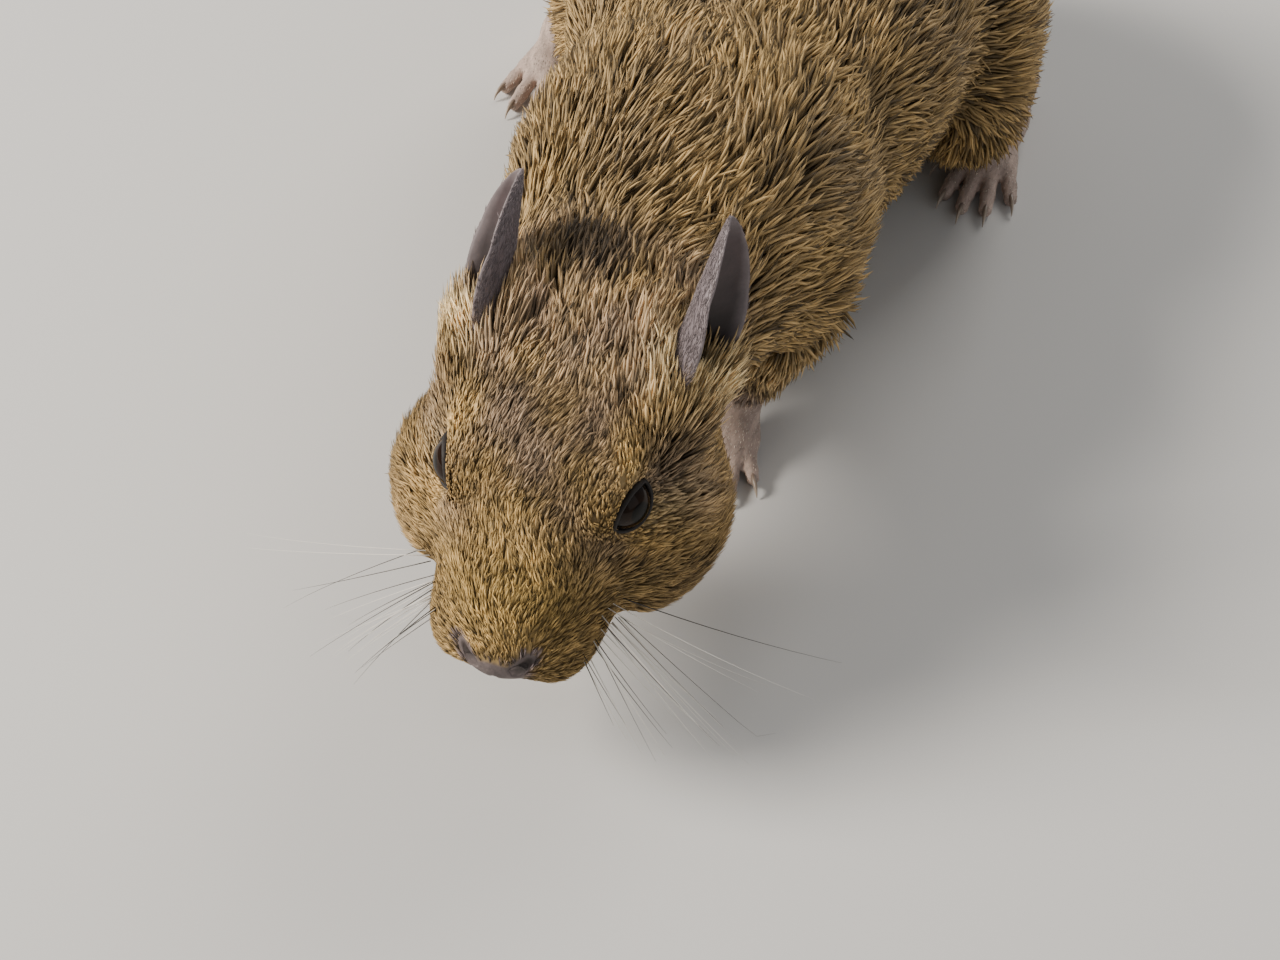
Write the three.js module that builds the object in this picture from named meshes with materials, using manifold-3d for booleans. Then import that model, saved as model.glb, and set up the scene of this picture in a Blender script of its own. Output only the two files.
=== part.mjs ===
// A degu at life size, crouched on all four feet with its head reached forward and down.
// Millimetres. The floor is z = 0, the animal faces -Y and its own left side is +X.

import * as THREE from 'three';
import { mergeVertices } from 'three/addons/utils/BufferGeometryUtils.js';
import Module from 'manifold-3d';

const wasm = await Module();
wasm.setup();

// Driving dimensions

const gap = 0.3; // left between neighbouring pieces
const farAway = 400; // larger than the animal
const tolerance = 0.004; // shortest edge that a join or cut leaves

// The hips swing to the animal's right: nothing before `from`, then ever more per `run`.
const swing = { from: -20, run: 70, reach: -7.5, most: 1.72 };

const hips = { at: [0, 37, 32], half: [35.5, 34, 28.5], soft: 0 };
const loin = { at: [0, 9, 36], half: [29, 33, 23.5], soft: 12 };
const belly = { at: [0, 12, 24], half: [24, 36, 16], soft: 8 };
const chest = { at: [0, -22, 34], half: [21.5, 27, 19], soft: 12 };
const shoulders = { at: [0, -28, 40], half: [18, 22, 15], soft: 10 };
const nape = { from: [0, -32, 35], to: [0, -56, 37], radii: [20, 16.5], soft: 10 };

const headPose = { at: [0, -68, 35], pitch: 20, roll: 2, yaw: 2.5 };
const cranium = { at: [0, 0, 0.5], half: [15.5, 17, 12.5], soft: 8 };
const cheek = { at: [10.3, -8, -6.9], half: [9.7, 12.6, 9.1], soft: 5, pair: true };
const bridge = { from: [0, -10, 0.5], to: [0, -22.5, -3.6], radii: [11, 8], soft: 6 };
const whiskerPad = { at: [4.9, -23.6, -6.2], half: [5.3, 7, 4.8], soft: 3.5, pair: true };
const nosePad = { at: [0, -28.8, -4.2], half: [3.9, 3.4, 2.9], soft: 2.4 };
const chin = { at: [0, -17.5, -12.2], half: [5.8, 10.4, 3.9], soft: 3 };
const brow = { at: [7.2, -9.6, 6.4], half: [3.4, 6.4, 2.9], soft: 3, pair: true };
const orbit = { at: [14.3, -13.2, 3.9], half: [3.4, 4.6, 3.8], soft: 3, pair: true, hollow: true };

const eye = { radius: 3.5, proud: 1.1, behind: [3, -8.6, 1.6], look: [0.86, -0.38, 0.3] };
const lid = { length: 5.5, height: 4.6, thick: 0.62, tilt: 18 };
const mouth = { centre: [0, -16, -10.2], corner: 74, depth: 1.3, width: 0.56 };
const cleft = { depth: 0.9, width: 0.5 };
const nostril = { across: 2.7, ahead: 2.2, height: 0.9, radius: 0.72 };

const ear = { width: 15.6, base: 0.78, widest: 0.32, wall: 0.8, curl: [112, 68] };
const earRoots = { left: [10.4, 2.4, 4.6], right: [-9.3, 2.6, 4.8] };
const earTips = { left: [15.6, 16.6, 20.2], right: [-10.4, 17, 20] };
const earFacing = { left: [0.95, -0.2, 0.12], right: [-0.9, -0.46, 0.12] };

const haunch = { at: [28, 38, 24], half: [11.5, 22, 19], soft: 8, turn: [-15, 0, 6], pair: true };
const shank = { from: [29, 29, 16], to: [36, 51, 8.4], radii: [7.8, 4.2], soft: 6, pair: true };
const shoulder = { at: [13.6, -25.5, 27.5], half: [8.4, 12.5, 12.5], soft: 8, pair: true };
const forearm = { from: [14.6, -21, 16], to: [10.2, -33, 6.8], radii: [7, 3.7], soft: 5, pair: true };

const hindFoot = {
  ankle: [37, 51.5],
  splay: 1,
  cell: 2.3,
  heel: { from: [0, 2.6, 4.4], to: [0, -10, 4.2], radii: [4.2, 3.9], soft: 0 },
  sole: { from: [0, -8, 3.6], to: [0, -18.5, 2.9], radii: [4, 2.9], soft: 3 },
  ball: { at: [0, -17, 2.2], half: [4.7, 4.6, 2.7], soft: 2.5 },
  toeRow: -18.5,
  toeWidth: 2.15,
  toeRadius: 1.35,
  toes: [
    { length: 5.2, set: -2.1, back: 4.5, heading: -26 },
    { length: 8.6, set: -1.35, back: 0.8, heading: -12 },
    { length: 10.2, set: -0.45, back: 0, heading: -3 },
    { length: 9.8, set: 0.5, back: 0.2, heading: 6 },
    { length: 7.4, set: 1.45, back: 1.4, heading: 17 },
  ],
};

const foreFoot = {
  ankle: [9.9, -33.6],
  splay: 5,
  cell: 1.9,
  heel: { from: [0, 1, 5.2], to: [0, -3, 2.9], radii: [3.1, 3], soft: 0 },
  sole: { at: [0, -4, 2.3], half: [3.7, 4, 2.5], soft: 2.5 },
  toeRow: -5.8,
  toeWidth: 1.95,
  toeRadius: 1.12,
  toes: [
    { length: 2.2, set: -1.75, back: 3, heading: -48 },
    { length: 5.2, set: -1.2, back: 0.3, heading: -22 },
    { length: 6.4, set: -0.4, back: -0.2, heading: -7 },
    { length: 6.1, set: 0.45, back: 0, heading: 8 },
    { length: 4.4, set: 1.25, back: 0.7, heading: 24 },
  ],
};

const claw = { length: 3.1, radius: 0.62, drop: 0.55 };

const tailRoot = { from: [0, 64, 22], to: [0, 80, 12], radii: [7, 4], soft: 8 };
const tailDrop = { from: [0, 80, 12], to: [0, 91, 6.2], radii: [4, 3.4], soft: 4 };
const tailLanding = { from: [0, 91, 6.2], to: [0, 104, 2.85], radii: [3.4, 3], soft: 3 };
const tail = { floorFrom: 100, length: 70, radii: [3.05, 1.5], sink: 0.16, sway: [-7.8, 12] };
const tailBrush = { length: 34, swell: 0.9 };
const lock = { length: 13, flare: 3.4, width: 1.5, thick: 0.75, rows: 3, around: 6, spread: 88 };

const colours = {
  coat: 0x8a7450,
  ear: 0x6f6366,
  eye: 0x0e0b0a,
  foot: 0xb8a294,
  tail: 0x66563f,
  brush: 0x1f1b19,
};

// Soft forms: a field gives the distance from a point to the nearest of them, below zero inside

const radians = THREE.MathUtils.degToRad;

function placement(at, turn = [0, 0, 0], order = 'ZYX') {
  const angles = new THREE.Euler(...turn.map(radians), order);
  return new THREE.Matrix4().makeRotationFromEuler(angles).setPosition(...at);
}

function blob({ at, half, soft = 0, turn, pair = false, hollow = false }) {
  const toForm = placement(at, turn).invert();
  const q = new THREE.Vector3();
  const distance = (p) => {
    q.copy(p).applyMatrix4(toForm);
    const depth = Math.hypot(q.x / half[0], q.y / half[1], q.z / half[2]);
    const slope = Math.hypot(q.x / half[0] ** 2, q.y / half[1] ** 2, q.z / half[2] ** 2);
    return slope > 1e-9 ? (depth * (depth - 1)) / slope : -Math.min(...half);
  };
  return { distance, soft, pair, hollow };
}

// A cone with a round end of its own radius at each end
function roundCone({ from, to, radii, soft = 0, pair = false }) {
  const start = new THREE.Vector3(...from);
  const axis = new THREE.Vector3(...to).sub(start);
  const length = axis.length();
  axis.normalize();
  const lean = (radii[0] - radii[1]) / length;
  const upright = Math.sqrt(1 - lean * lean);
  const q = new THREE.Vector3();
  const distance = (p) => {
    q.copy(p).sub(start);
    const along = q.dot(axis);
    const across = Math.sqrt(Math.max(q.lengthSq() - along * along, 0));
    const shifted = (along * upright - across * lean) / upright;
    if (shifted < 0) {
      return q.length() - radii[0];
    }
    if (shifted > length) {
      return Math.hypot(across, along - length) - radii[1];
    }
    return across * upright + along * lean - radii[0];
  };
  return { distance, soft, pair };
}

function softMin(a, b, soft) {
  const overlap = Math.max(soft - Math.abs(a - b), 0);
  return Math.min(a, b) - (soft > 0 ? (overlap * overlap) / (4 * soft) : 0);
}

// Each form is added softly to what is there, or taken softly from it where it is hollow
function grow(near, forms, p) {
  const twin = new THREE.Vector3(-p.x, p.y, p.z);
  for (const form of forms) {
    for (const spot of form.pair ? [p, twin] : [p]) {
      const distance = form.distance(spot);
      near = form.hollow ? -softMin(-near, distance, form.soft) : softMin(near, distance, form.soft);
    }
  }
  return near;
}

const sideways = (y) => {
  const turns = THREE.MathUtils.clamp((y - swing.from) / swing.run, 0, swing.most);
  return swing.reach * turns * turns;
};

const straightened = (p) => new THREE.Vector3(p.x - sideways(p.y), p.y, p.z);

const headPlace = placement(headPose.at, [headPose.pitch, headPose.roll, headPose.yaw], 'ZXY');
const toHead = headPlace.clone().invert();

const trunkForms = [
  ...[hips, loin, belly, chest, shoulders].map(blob),
  roundCone(nape),
];
const headForms = [
  blob(cranium),
  blob(cheek),
  roundCone(bridge),
  blob(whiskerPad),
  blob(nosePad),
  blob(chin),
  blob(brow),
  blob(orbit),
];
const legForms = [blob(haunch), roundCone(shank), blob(shoulder), roundCone(forearm)];
const tailForms = [roundCone(tailRoot), roundCone(tailDrop), roundCone(tailLanding)];

function animal(p) {
  const upright = straightened(p);
  let near = grow(Infinity, trunkForms, upright);
  near = grow(near, headForms, p.clone().applyMatrix4(toHead));
  near = grow(near, legForms, upright);
  return grow(near, tailForms, upright);
}

const animalFromHead = (p) => animal(p.clone().applyMatrix4(headPlace));

// A field's surface as a closed mesh: one point in each crossed cell, one quad round each crossed edge

const cellCorners = [0, 1, 2, 3, 4, 5, 6, 7].map((n) => [n & 1, (n >> 1) & 1, (n >> 2) & 1]);
const cellEdges = [];
for (let a = 0; a < 8; a += 1) {
  for (const bit of [1, 2, 4]) {
    if (!(a & bit)) {
      cellEdges.push([a, a | bit]);
    }
  }
}

function settle(distance, point, reach) {
  const start = point.clone();
  const probe = new THREE.Vector3();
  const step = 0.05;
  for (let round = 0; round < 4; round += 1) {
    const off = distance(point);
    const slope = ['x', 'y', 'z'].map((axis) => {
      probe.copy(point)[axis] += step;
      return (distance(probe) - off) / step;
    });
    const steep = slope[0] ** 2 + slope[1] ** 2 + slope[2] ** 2;
    point.sub(probe.set(...slope).multiplyScalar(off / Math.max(steep, 0.1)));
  }
  const way = point.clone().sub(start);
  return start.add(way.clampLength(0, reach));
}

// The grid's own sides close a form that runs out of it
function surfaceOf(field, lines) {
  const count = lines.map((line) => line.length);
  const inset = 0.4 * (lines[0][1] - lines[0][0]);
  const pastSide = (line, n) => Math.max(line[0] + inset - n, n - line.at(-1) + inset);
  const distance = (p) => Math.max(
    field(p),
    pastSide(lines[0], p.x),
    pastSide(lines[1], p.y),
    pastSide(lines[2], p.z),
  );
  const node = (i, j, k) => (k * count[1] + j) * count[0] + i;
  const place = (i, j, k) => new THREE.Vector3(lines[0][i], lines[1][j], lines[2][k]);
  const value = new Float64Array(count[0] * count[1] * count[2]);
  for (let k = 0; k < count[2]; k += 1) {
    for (let j = 0; j < count[1]; j += 1) {
      for (let i = 0; i < count[0]; i += 1) {
        value[node(i, j, k)] = distance(place(i, j, k));
      }
    }
  }

  const points = [];
  const pointOf = new Int32Array(value.length).fill(-1);
  for (let k = 0; k < count[2] - 1; k += 1) {
    for (let j = 0; j < count[1] - 1; j += 1) {
      for (let i = 0; i < count[0] - 1; i += 1) {
        const middle = new THREE.Vector3();
        let crossings = 0;
        for (const [a, b] of cellEdges) {
          const from = cellCorners[a];
          const to = cellCorners[b];
          const valueFrom = value[node(i + from[0], j + from[1], k + from[2])];
          const valueTo = value[node(i + to[0], j + to[1], k + to[2])];
          if (valueFrom < 0 !== valueTo < 0) {
            const start = place(i + from[0], j + from[1], k + from[2]);
            const end = place(i + to[0], j + to[1], k + to[2]);
            middle.add(start.lerp(end, valueFrom / (valueFrom - valueTo)));
            crossings += 1;
          }
        }
        if (crossings > 0) {
          pointOf[node(i, j, k)] = points.length;
          const cell = place(i + 1, j + 1, k + 1).distanceTo(place(i, j, k));
          points.push(settle(distance, middle.divideScalar(crossings), cell * 0.4));
        }
      }
    }
  }

  const faces = [];
  const addQuad = (quad, flipped) => {
    const [a, b, c, d] = flipped ? quad.toReversed() : quad;
    if (points[a].distanceTo(points[c]) < points[b].distanceTo(points[d])) {
      faces.push(a, b, c, a, c, d);
    } else {
      faces.push(a, b, d, b, c, d);
    }
  };
  for (let k = 0; k < count[2] - 1; k += 1) {
    for (let j = 0; j < count[1] - 1; j += 1) {
      for (let i = 0; i < count[0] - 1; i += 1) {
        const here = [i, j, k];
        const inside = value[node(i, j, k)] < 0;
        for (let axis = 0; axis < 3; axis += 1) {
          const next = here.map((n, m) => n + (m === axis ? 1 : 0));
          if (inside !== value[node(...next)] < 0) {
            const u = (axis + 1) % 3;
            const v = (axis + 2) % 3;
            const shifts = [[0, 0], [1, 0], [1, 1], [0, 1]];
            const quad = shifts.map(([du, dv]) => {
              const cell = [...here];
              cell[u] -= du;
              cell[v] -= dv;
              return pointOf[node(...cell)];
            });
            addQuad(quad, !inside);
          }
        }
      }
    }
  }

  const geometry = new THREE.BufferGeometry().setFromPoints(points);
  geometry.setIndex(faces);
  return geometry;
}

// The same surface moved outward, facet beside facet
function swollen(geometry, amount) {
  const wider = geometry.clone();
  wider.computeVertexNormals();
  const { position, normal } = wider.attributes;
  const point = new THREE.Vector3();
  const outward = new THREE.Vector3();
  for (let n = 0; n < position.count; n += 1) {
    outward.fromBufferAttribute(normal, n);
    point.fromBufferAttribute(position, n).addScaledVector(outward, amount);
    position.setXYZ(n, ...point);
  }
  return wider;
}

function gridLines(low, high, cellAt) {
  const lines = [low];
  while (lines.at(-1) < high) {
    lines.push(lines.at(-1) + cellAt(lines.at(-1)));
  }
  return lines;
}

const evenLines = (low, high, cell) => low.map((start, i) => gridLines(start, high[i], () => cell));

function mirroredLines(high, cellAt) {
  const half = gridLines(0, high, cellAt);
  return [...half.slice(1).reverse().map((line) => -line), ...half];
}

// Closed sweeps and grids

// The section is `half(t)` wide and thick, with its thickness towards `up`
function sweep({ path, half, up, sides, steps, closed = false }) {
  const points = [];
  const rings = closed ? steps : steps + 1;
  for (let ring = 0; ring < rings; ring += 1) {
    const t = ring / steps;
    const centre = path.getPointAt(t);
    const along = path.getTangentAt(t);
    const across = up.clone().cross(along).normalize();
    const outward = along.clone().cross(across);
    const [wide, thick] = half(t);
    for (let side = 0; side < sides; side += 1) {
      const angle = (side / sides) * 2 * Math.PI;
      points.push(centre.clone()
        .addScaledVector(across, wide * Math.cos(angle))
        .addScaledVector(outward, thick * Math.sin(angle)));
    }
  }
  const faces = [];
  const point = (ring, side) => (ring % rings) * sides + (side % sides);
  for (let ring = 0; ring < (closed ? rings : rings - 1); ring += 1) {
    for (let side = 0; side < sides; side += 1) {
      const corners = [point(ring, side), point(ring, side + 1), point(ring + 1, side + 1)];
      faces.push(...corners, corners[0], corners[2], point(ring + 1, side));
    }
  }
  if (!closed) {
    for (const [end, ring] of [[0, 0], [1, rings - 1]]) {
      const bulge = Math.min(...half(end)) * (end ? 0.7 : -0.7);
      const pole = points.length;
      points.push(path.getPointAt(end).addScaledVector(path.getTangentAt(end), bulge));
      for (let side = 0; side < sides; side += 1) {
        const rim = [point(ring, side + 1), point(ring, side)];
        faces.push(pole, ...(end ? rim.reverse() : rim));
      }
    }
  }
  const geometry = new THREE.BufferGeometry().setFromPoints(points);
  geometry.setIndex(faces);
  return geometry;
}

const smoothPath = (points) => new THREE.CatmullRomCurve3(points.map((p) => new THREE.Vector3(...p)));

// Joining and cutting

function solid(geometry) {
  const bare = geometry.clone();
  bare.deleteAttribute('normal');
  bare.deleteAttribute('uv');
  const merged = mergeVertices(bare, 1e-4);
  const faces = new Uint32Array(merged.index.array);
  const places = new Float32Array(merged.attributes.position.array);
  return new wasm.Manifold(new wasm.Mesh({ numProp: 3, vertProperties: places, triVerts: faces, tolerance }));
}

const joined = (pieces) => pieces.reduce((whole, piece) => whole.add(piece));

function largest(whole) {
  return whole.decompose().reduce((best, piece) => (piece.volume() > best.volume() ? piece : best));
}

// Everything on the far side of a plane through `at`, on the side that `towards` points to
function beyond(at, towards, frame = new THREE.Matrix4()) {
  const box = new THREE.BoxGeometry(farAway, farAway, farAway).translate(0, 0, farAway / 2);
  const heading = new THREE.Vector3(...towards).normalize();
  box.applyQuaternion(new THREE.Quaternion().setFromUnitVectors(new THREE.Vector3(0, 0, 1), heading));
  return solid(box.translate(...at).applyMatrix4(frame));
}

const opposite = (direction) => direction.map((n) => -n);
const moved = (at, direction, amount) => {
  const shift = new THREE.Vector3(...direction).setLength(amount);
  return new THREE.Vector3(...at).add(shift).toArray();
};
const mirroredX = (triple) => [-triple[0], triple[1], triple[2]];

const floorBelow = beyond([0, 0, 0], [0, 0, -1]);

const degu = new THREE.Group();
const headGroup = new THREE.Group();
headGroup.applyMatrix4(headPlace);
degu.add(headGroup);

function addPart(name, piece, colour, parent = degu, roughness = 0.85) {
  const { vertProperties, triVerts } = largest(piece).getMesh();
  const geometry = new THREE.BufferGeometry();
  geometry.setAttribute('position', new THREE.BufferAttribute(new Float32Array(vertProperties), 3));
  geometry.setIndex(Array.from(triVerts));
  geometry.computeVertexNormals();
  const material = new THREE.MeshStandardMaterial({ color: colour, roughness, metalness: 0 });
  const mesh = new THREE.Mesh(geometry, material);
  mesh.name = name;
  parent.add(mesh);
}

// Where the body is parted: a point on each cut and the way towards the tail

const headCut = { at: [0, -59.5, 36], towards: [0, 1, 0.04] };
const neckCut = { at: [0, -42.5, 36], towards: [0, 1, 0.18] };
const tailCut = { at: [sideways(73), 73, 17], towards: [-0.15, 1, -0.6] };
const floorCut = { at: [sideways(102), 102, 3], towards: [-0.35, 1, 0] };

const cutAway = (piece, { at, towards }, side) => {
  const way = side === 'front' ? towards : opposite(towards);
  return piece.subtract(beyond(moved(at, opposite(way), gap / 2), way));
};

// Limbs are parted from the trunk along rounded bowls
const limbs = [
  {
    leg: 'hindleg',
    footName: 'hindfoot',
    foot: hindFoot,
    bowl: [blob({ at: [34, 36, 20], half: [15.5, 27, 25], turn: [-8, 0, 4], pair: true })],
    box: [[8, 2, -12], [56, 70, 52]],
    cell: 4.9,
    bowlCell: 6.5,
  },
  {
    leg: 'foreleg',
    footName: 'forefoot',
    foot: foreFoot,
    bowl: [
      blob({ at: [16.5, -25, 20], half: [9.5, 13.5, 14], pair: true }),
      roundCone({ from: [14.6, -22, 14], to: [9.8, -36, 5], radii: [9, 6.4], soft: 4, pair: true }),
    ],
    box: [[0.4, -48, -8], [32, -2, 40]],
    cell: 3.9,
    bowlCell: 5,
  },
];

const bowlSurface = (forms, lines) => surfaceOf((p) => grow(Infinity, forms, straightened(p)), lines);

const oneSide = ([low, high], side) => (side === 'left'
  ? [low, high]
  : [[-high[0], low[1], low[2]], [-low[0], high[1], high[2]]]);

function makeTrunk() {
  const trunkLines = evenLines([-52, -66, -2], [52, 84, 66], 6.4);
  const trunk = solid(surfaceOf(animal, trunkLines));
  let torso = cutAway(cutAway(trunk, neckCut, 'back'), tailCut, 'front');
  const neckLines = evenLines([-28, -68, 6], [28, -32, 64], 3.9);
  const neck = cutAway(cutAway(solid(surfaceOf(animal, neckLines)), headCut, 'back'), neckCut, 'front');

  for (const side of ['left', 'right']) {
    for (const limb of limbs) {
      const box = oneSide(limb.box, side);
      const bowl = bowlSurface(limb.bowl, evenLines(...box, limb.bowlCell));
      torso = torso.subtract(solid(swollen(bowl, gap)));
      const leg = solid(surfaceOf(animal, evenLines(...box, limb.cell))).intersect(solid(bowl));
      const footSpace = solid(swollen(footSurface(limb.foot), gap).applyMatrix4(footPlace(limb.foot, side)));
      addPart(`${limb.leg}_${side}`, leg.subtract(footSpace), colours.coat);
    }
  }
  addPart('torso', torso, colours.coat);
  addPart('neck', neck, colours.coat);
}

// Feet: flat on the floor, toes towards -Y, each toe a bent tube with a claw

function footPlace(foot, side) {
  const sign = side === 'left' ? 1 : -1;
  const [across, back] = foot.ankle;
  return placement([sign * across + sideways(back), back, 0], [0, 0, sign * foot.splay]);
}

function footSurface(foot) {
  const forms = [roundCone(foot.heel)];
  forms.push(foot.sole.from ? roundCone(foot.sole) : blob(foot.sole));
  if (foot.ball) {
    forms.push(blob(foot.ball));
  }
  const back = foot.heel.from[1] + foot.heel.radii[0];
  const top = foot.heel.from[2] + foot.heel.radii[0];
  const low = [-7.5, foot.toeRow - 7, -3];
  const high = [7.5, back + 2, top + 2];
  return surfaceOf((p) => grow(Infinity, forms, p), evenLines(low, high, foot.cell));
}

function toePieces(foot, toe, sign) {
  const heading = radians(sign * toe.heading);
  const ahead = [Math.sin(heading), -Math.cos(heading)];
  const start = [sign * toe.set * foot.toeWidth, foot.toeRow + toe.back];
  const spot = (reach, height) => [start[0] + ahead[0] * reach, start[1] + ahead[1] * reach, height];
  const thick = foot.toeRadius * (toe.length < 3 ? 0.75 : 1);
  const pad = thick * 0.86;
  const bones = smoothPath([
    spot(-1.6, thick * 1.5),
    spot(toe.length * 0.3, thick * 1.75),
    spot(toe.length * 0.68, thick * 1.25),
    spot(toe.length, pad),
  ]);
  const slim = (t) => [thick * (1.05 - 0.2 * t), thick * (1.05 - 0.15 * t)];
  const up = new THREE.Vector3(0, 0, 1);
  const clawSize = claw.length * (toe.length < 3 ? 0.5 : Math.sqrt(foot.toeRadius / hindFoot.toeRadius));
  const hook = smoothPath([
    spot(toe.length - 0.5, pad * 1.3),
    spot(toe.length + clawSize * 0.55, pad * 1.35),
    spot(toe.length + clawSize, claw.drop),
  ]);
  const point = (t) => [claw.radius * (1 - 0.82 * t), claw.radius * 1.2 * (1 - 0.82 * t)];
  return [
    solid(sweep({ path: bones, half: slim, up, sides: 6, steps: 4 })),
    solid(sweep({ path: hook, half: point, up, sides: 5, steps: 3 })),
  ];
}

function makeFoot(name, foot, side) {
  const sign = side === 'left' ? 1 : -1;
  const group = new THREE.Group();
  group.applyMatrix4(footPlace(foot, side));
  degu.add(group);
  const pieces = [solid(footSurface(foot)), ...foot.toes.flatMap((toe) => toePieces(foot, toe, sign))];
  addPart(`${name}_${side}`, joined(pieces).subtract(floorBelow), colours.foot, group);
}

// Head: in its own frame, nose towards -Y

function onSkin(from, direction) {
  const start = new THREE.Vector3(...from);
  const heading = new THREE.Vector3(...direction).normalize();
  let [near, far] = [0, 40];
  for (let round = 0; round < 30; round += 1) {
    const middle = (near + far) / 2;
    if (animalFromHead(start.clone().addScaledVector(heading, middle)) < 0) {
      near = middle;
    } else {
      far = middle;
    }
  }
  return start.addScaledVector(heading, near).toArray();
}

const ball = (at, radius) => solid(new THREE.SphereGeometry(radius, 12, 8).translate(...at));

function lidRing(at, look) {
  const forward = new THREE.Vector3(...look).normalize();
  const level = new THREE.Vector3(0, 0, 1).cross(forward).normalize();
  const rise = forward.clone().cross(level);
  level.applyAxisAngle(forward, radians(Math.sign(at[0]) * lid.tilt));
  rise.applyAxisAngle(forward, radians(Math.sign(at[0]) * lid.tilt));
  const reach = eye.radius + gap + lid.thick * 0.45;
  const rim = [];
  const corners = 14;
  for (let n = 0; n < corners; n += 1) {
    const angle = (n / corners) * 2 * Math.PI;
    const across = (Math.cos(angle) * lid.length) / 2;
    const high = (Math.sin(angle) * lid.height) / 2;
    const out = Math.sqrt(eye.radius ** 2 - across ** 2 - high ** 2);
    const spot = forward.clone().multiplyScalar(out);
    spot.addScaledVector(level, across).addScaledVector(rise, high).setLength(reach);
    rim.push(spot.add(new THREE.Vector3(...at)));
  }
  const path = new THREE.CatmullRomCurve3(rim, true);
  const half = () => [lid.thick, lid.thick];
  return solid(sweep({ path, half, up: forward, sides: 5, steps: corners, closed: true }));
}

function mouthLine() {
  const line = [];
  const stations = 9;
  for (let n = 0; n < stations; n += 1) {
    const turn = radians(mouth.corner * (2 * (n / (stations - 1)) - 1));
    const lift = 0.9 * Math.sin(turn) ** 2;
    const from = [mouth.centre[0], mouth.centre[1], mouth.centre[2] - lift];
    line.push(onSkin(from, [Math.sin(turn), -Math.cos(turn), 0]));
  }
  const fade = (t) => Math.sin(Math.PI * Math.min(0.5, 0.12 + 2 * Math.min(t, 1 - t)));
  const half = (t) => [mouth.depth * fade(t), (mouth.width / 2) * fade(t)];
  const up = new THREE.Vector3(0, 0, 1);
  return solid(sweep({ path: smoothPath(line), half, up, sides: 4, steps: 14 }));
}

function noseCuts() {
  const up = new THREE.Vector3(0, -1, 0);
  const top = onSkin(nosePad.at, [0, -1, -0.45]);
  const low = onSkin([0, nosePad.at[1] + 3, mouth.centre[2]], [0, -1, 0]);
  const between = top.map((n, axis) => (n + low[axis]) / 2);
  const slit = smoothPath([top, between, low]);
  const half = () => [cleft.width / 2, cleft.depth];
  const cuts = [solid(sweep({ path: slit, half, up, sides: 4, steps: 4 }))];
  for (const sign of [1, -1]) {
    const inside = [sign * nostril.across * 0.35, nosePad.at[1] + 0.5, nosePad.at[2] + 0.4];
    const rim = onSkin(inside, [sign * nostril.across, -nostril.ahead, nostril.height]);
    const outer = new THREE.Vector3(...rim).add(new THREE.Vector3(sign * 0.9, 0.2, 0.5)).toArray();
    const hole = smoothPath([inside, rim, outer]);
    const narrow = (t) => [nostril.radius * (0.45 + 0.55 * t), nostril.radius * (0.4 + 0.35 * t)];
    cuts.push(solid(sweep({ path: hole, half: narrow, up: new THREE.Vector3(0, 0, 1), sides: 6, steps: 5 })));
  }
  return joined(cuts);
}

// Closer towards the muzzle, wider towards the neck
const headLines = [
  mirroredLines(24, (x) => (x < 10 ? 1.7 : 2.6)),
  gridLines(-36, 24, (y) => (y < -19 ? 1.5 : 2.7)),
  gridLines(-20, 20, (z) => (z < 6 ? 1.85 : 2.6)),
];

const headSurface = surfaceOf(animalFromHead, headLines);

function makeHead() {
  const frontOfNeck = beyond(moved(headCut.at, opposite(headCut.towards), gap / 2), headCut.towards, toHead);
  let head = solid(headSurface).subtract(frontOfNeck);
  for (const side of ['left', 'right']) {
    const look = side === 'left' ? eye.look : mirroredX(eye.look);
    const behind = side === 'left' ? eye.behind : mirroredX(eye.behind);
    const at = moved(onSkin(behind, look), look, eye.proud - eye.radius);
    head = head.add(lidRing(at, look)).subtract(ball(at, eye.radius + gap));
    addPart(`eye_${side}`, ball(at, eye.radius), colours.eye, headGroup, 0.08);
  }
  head = head.subtract(mouthLine()).subtract(noseCuts());
  addPart('head', head, colours.coat, headGroup);
}

// Ears: a thin cup, a tube at its root and open towards its side of the head

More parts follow.
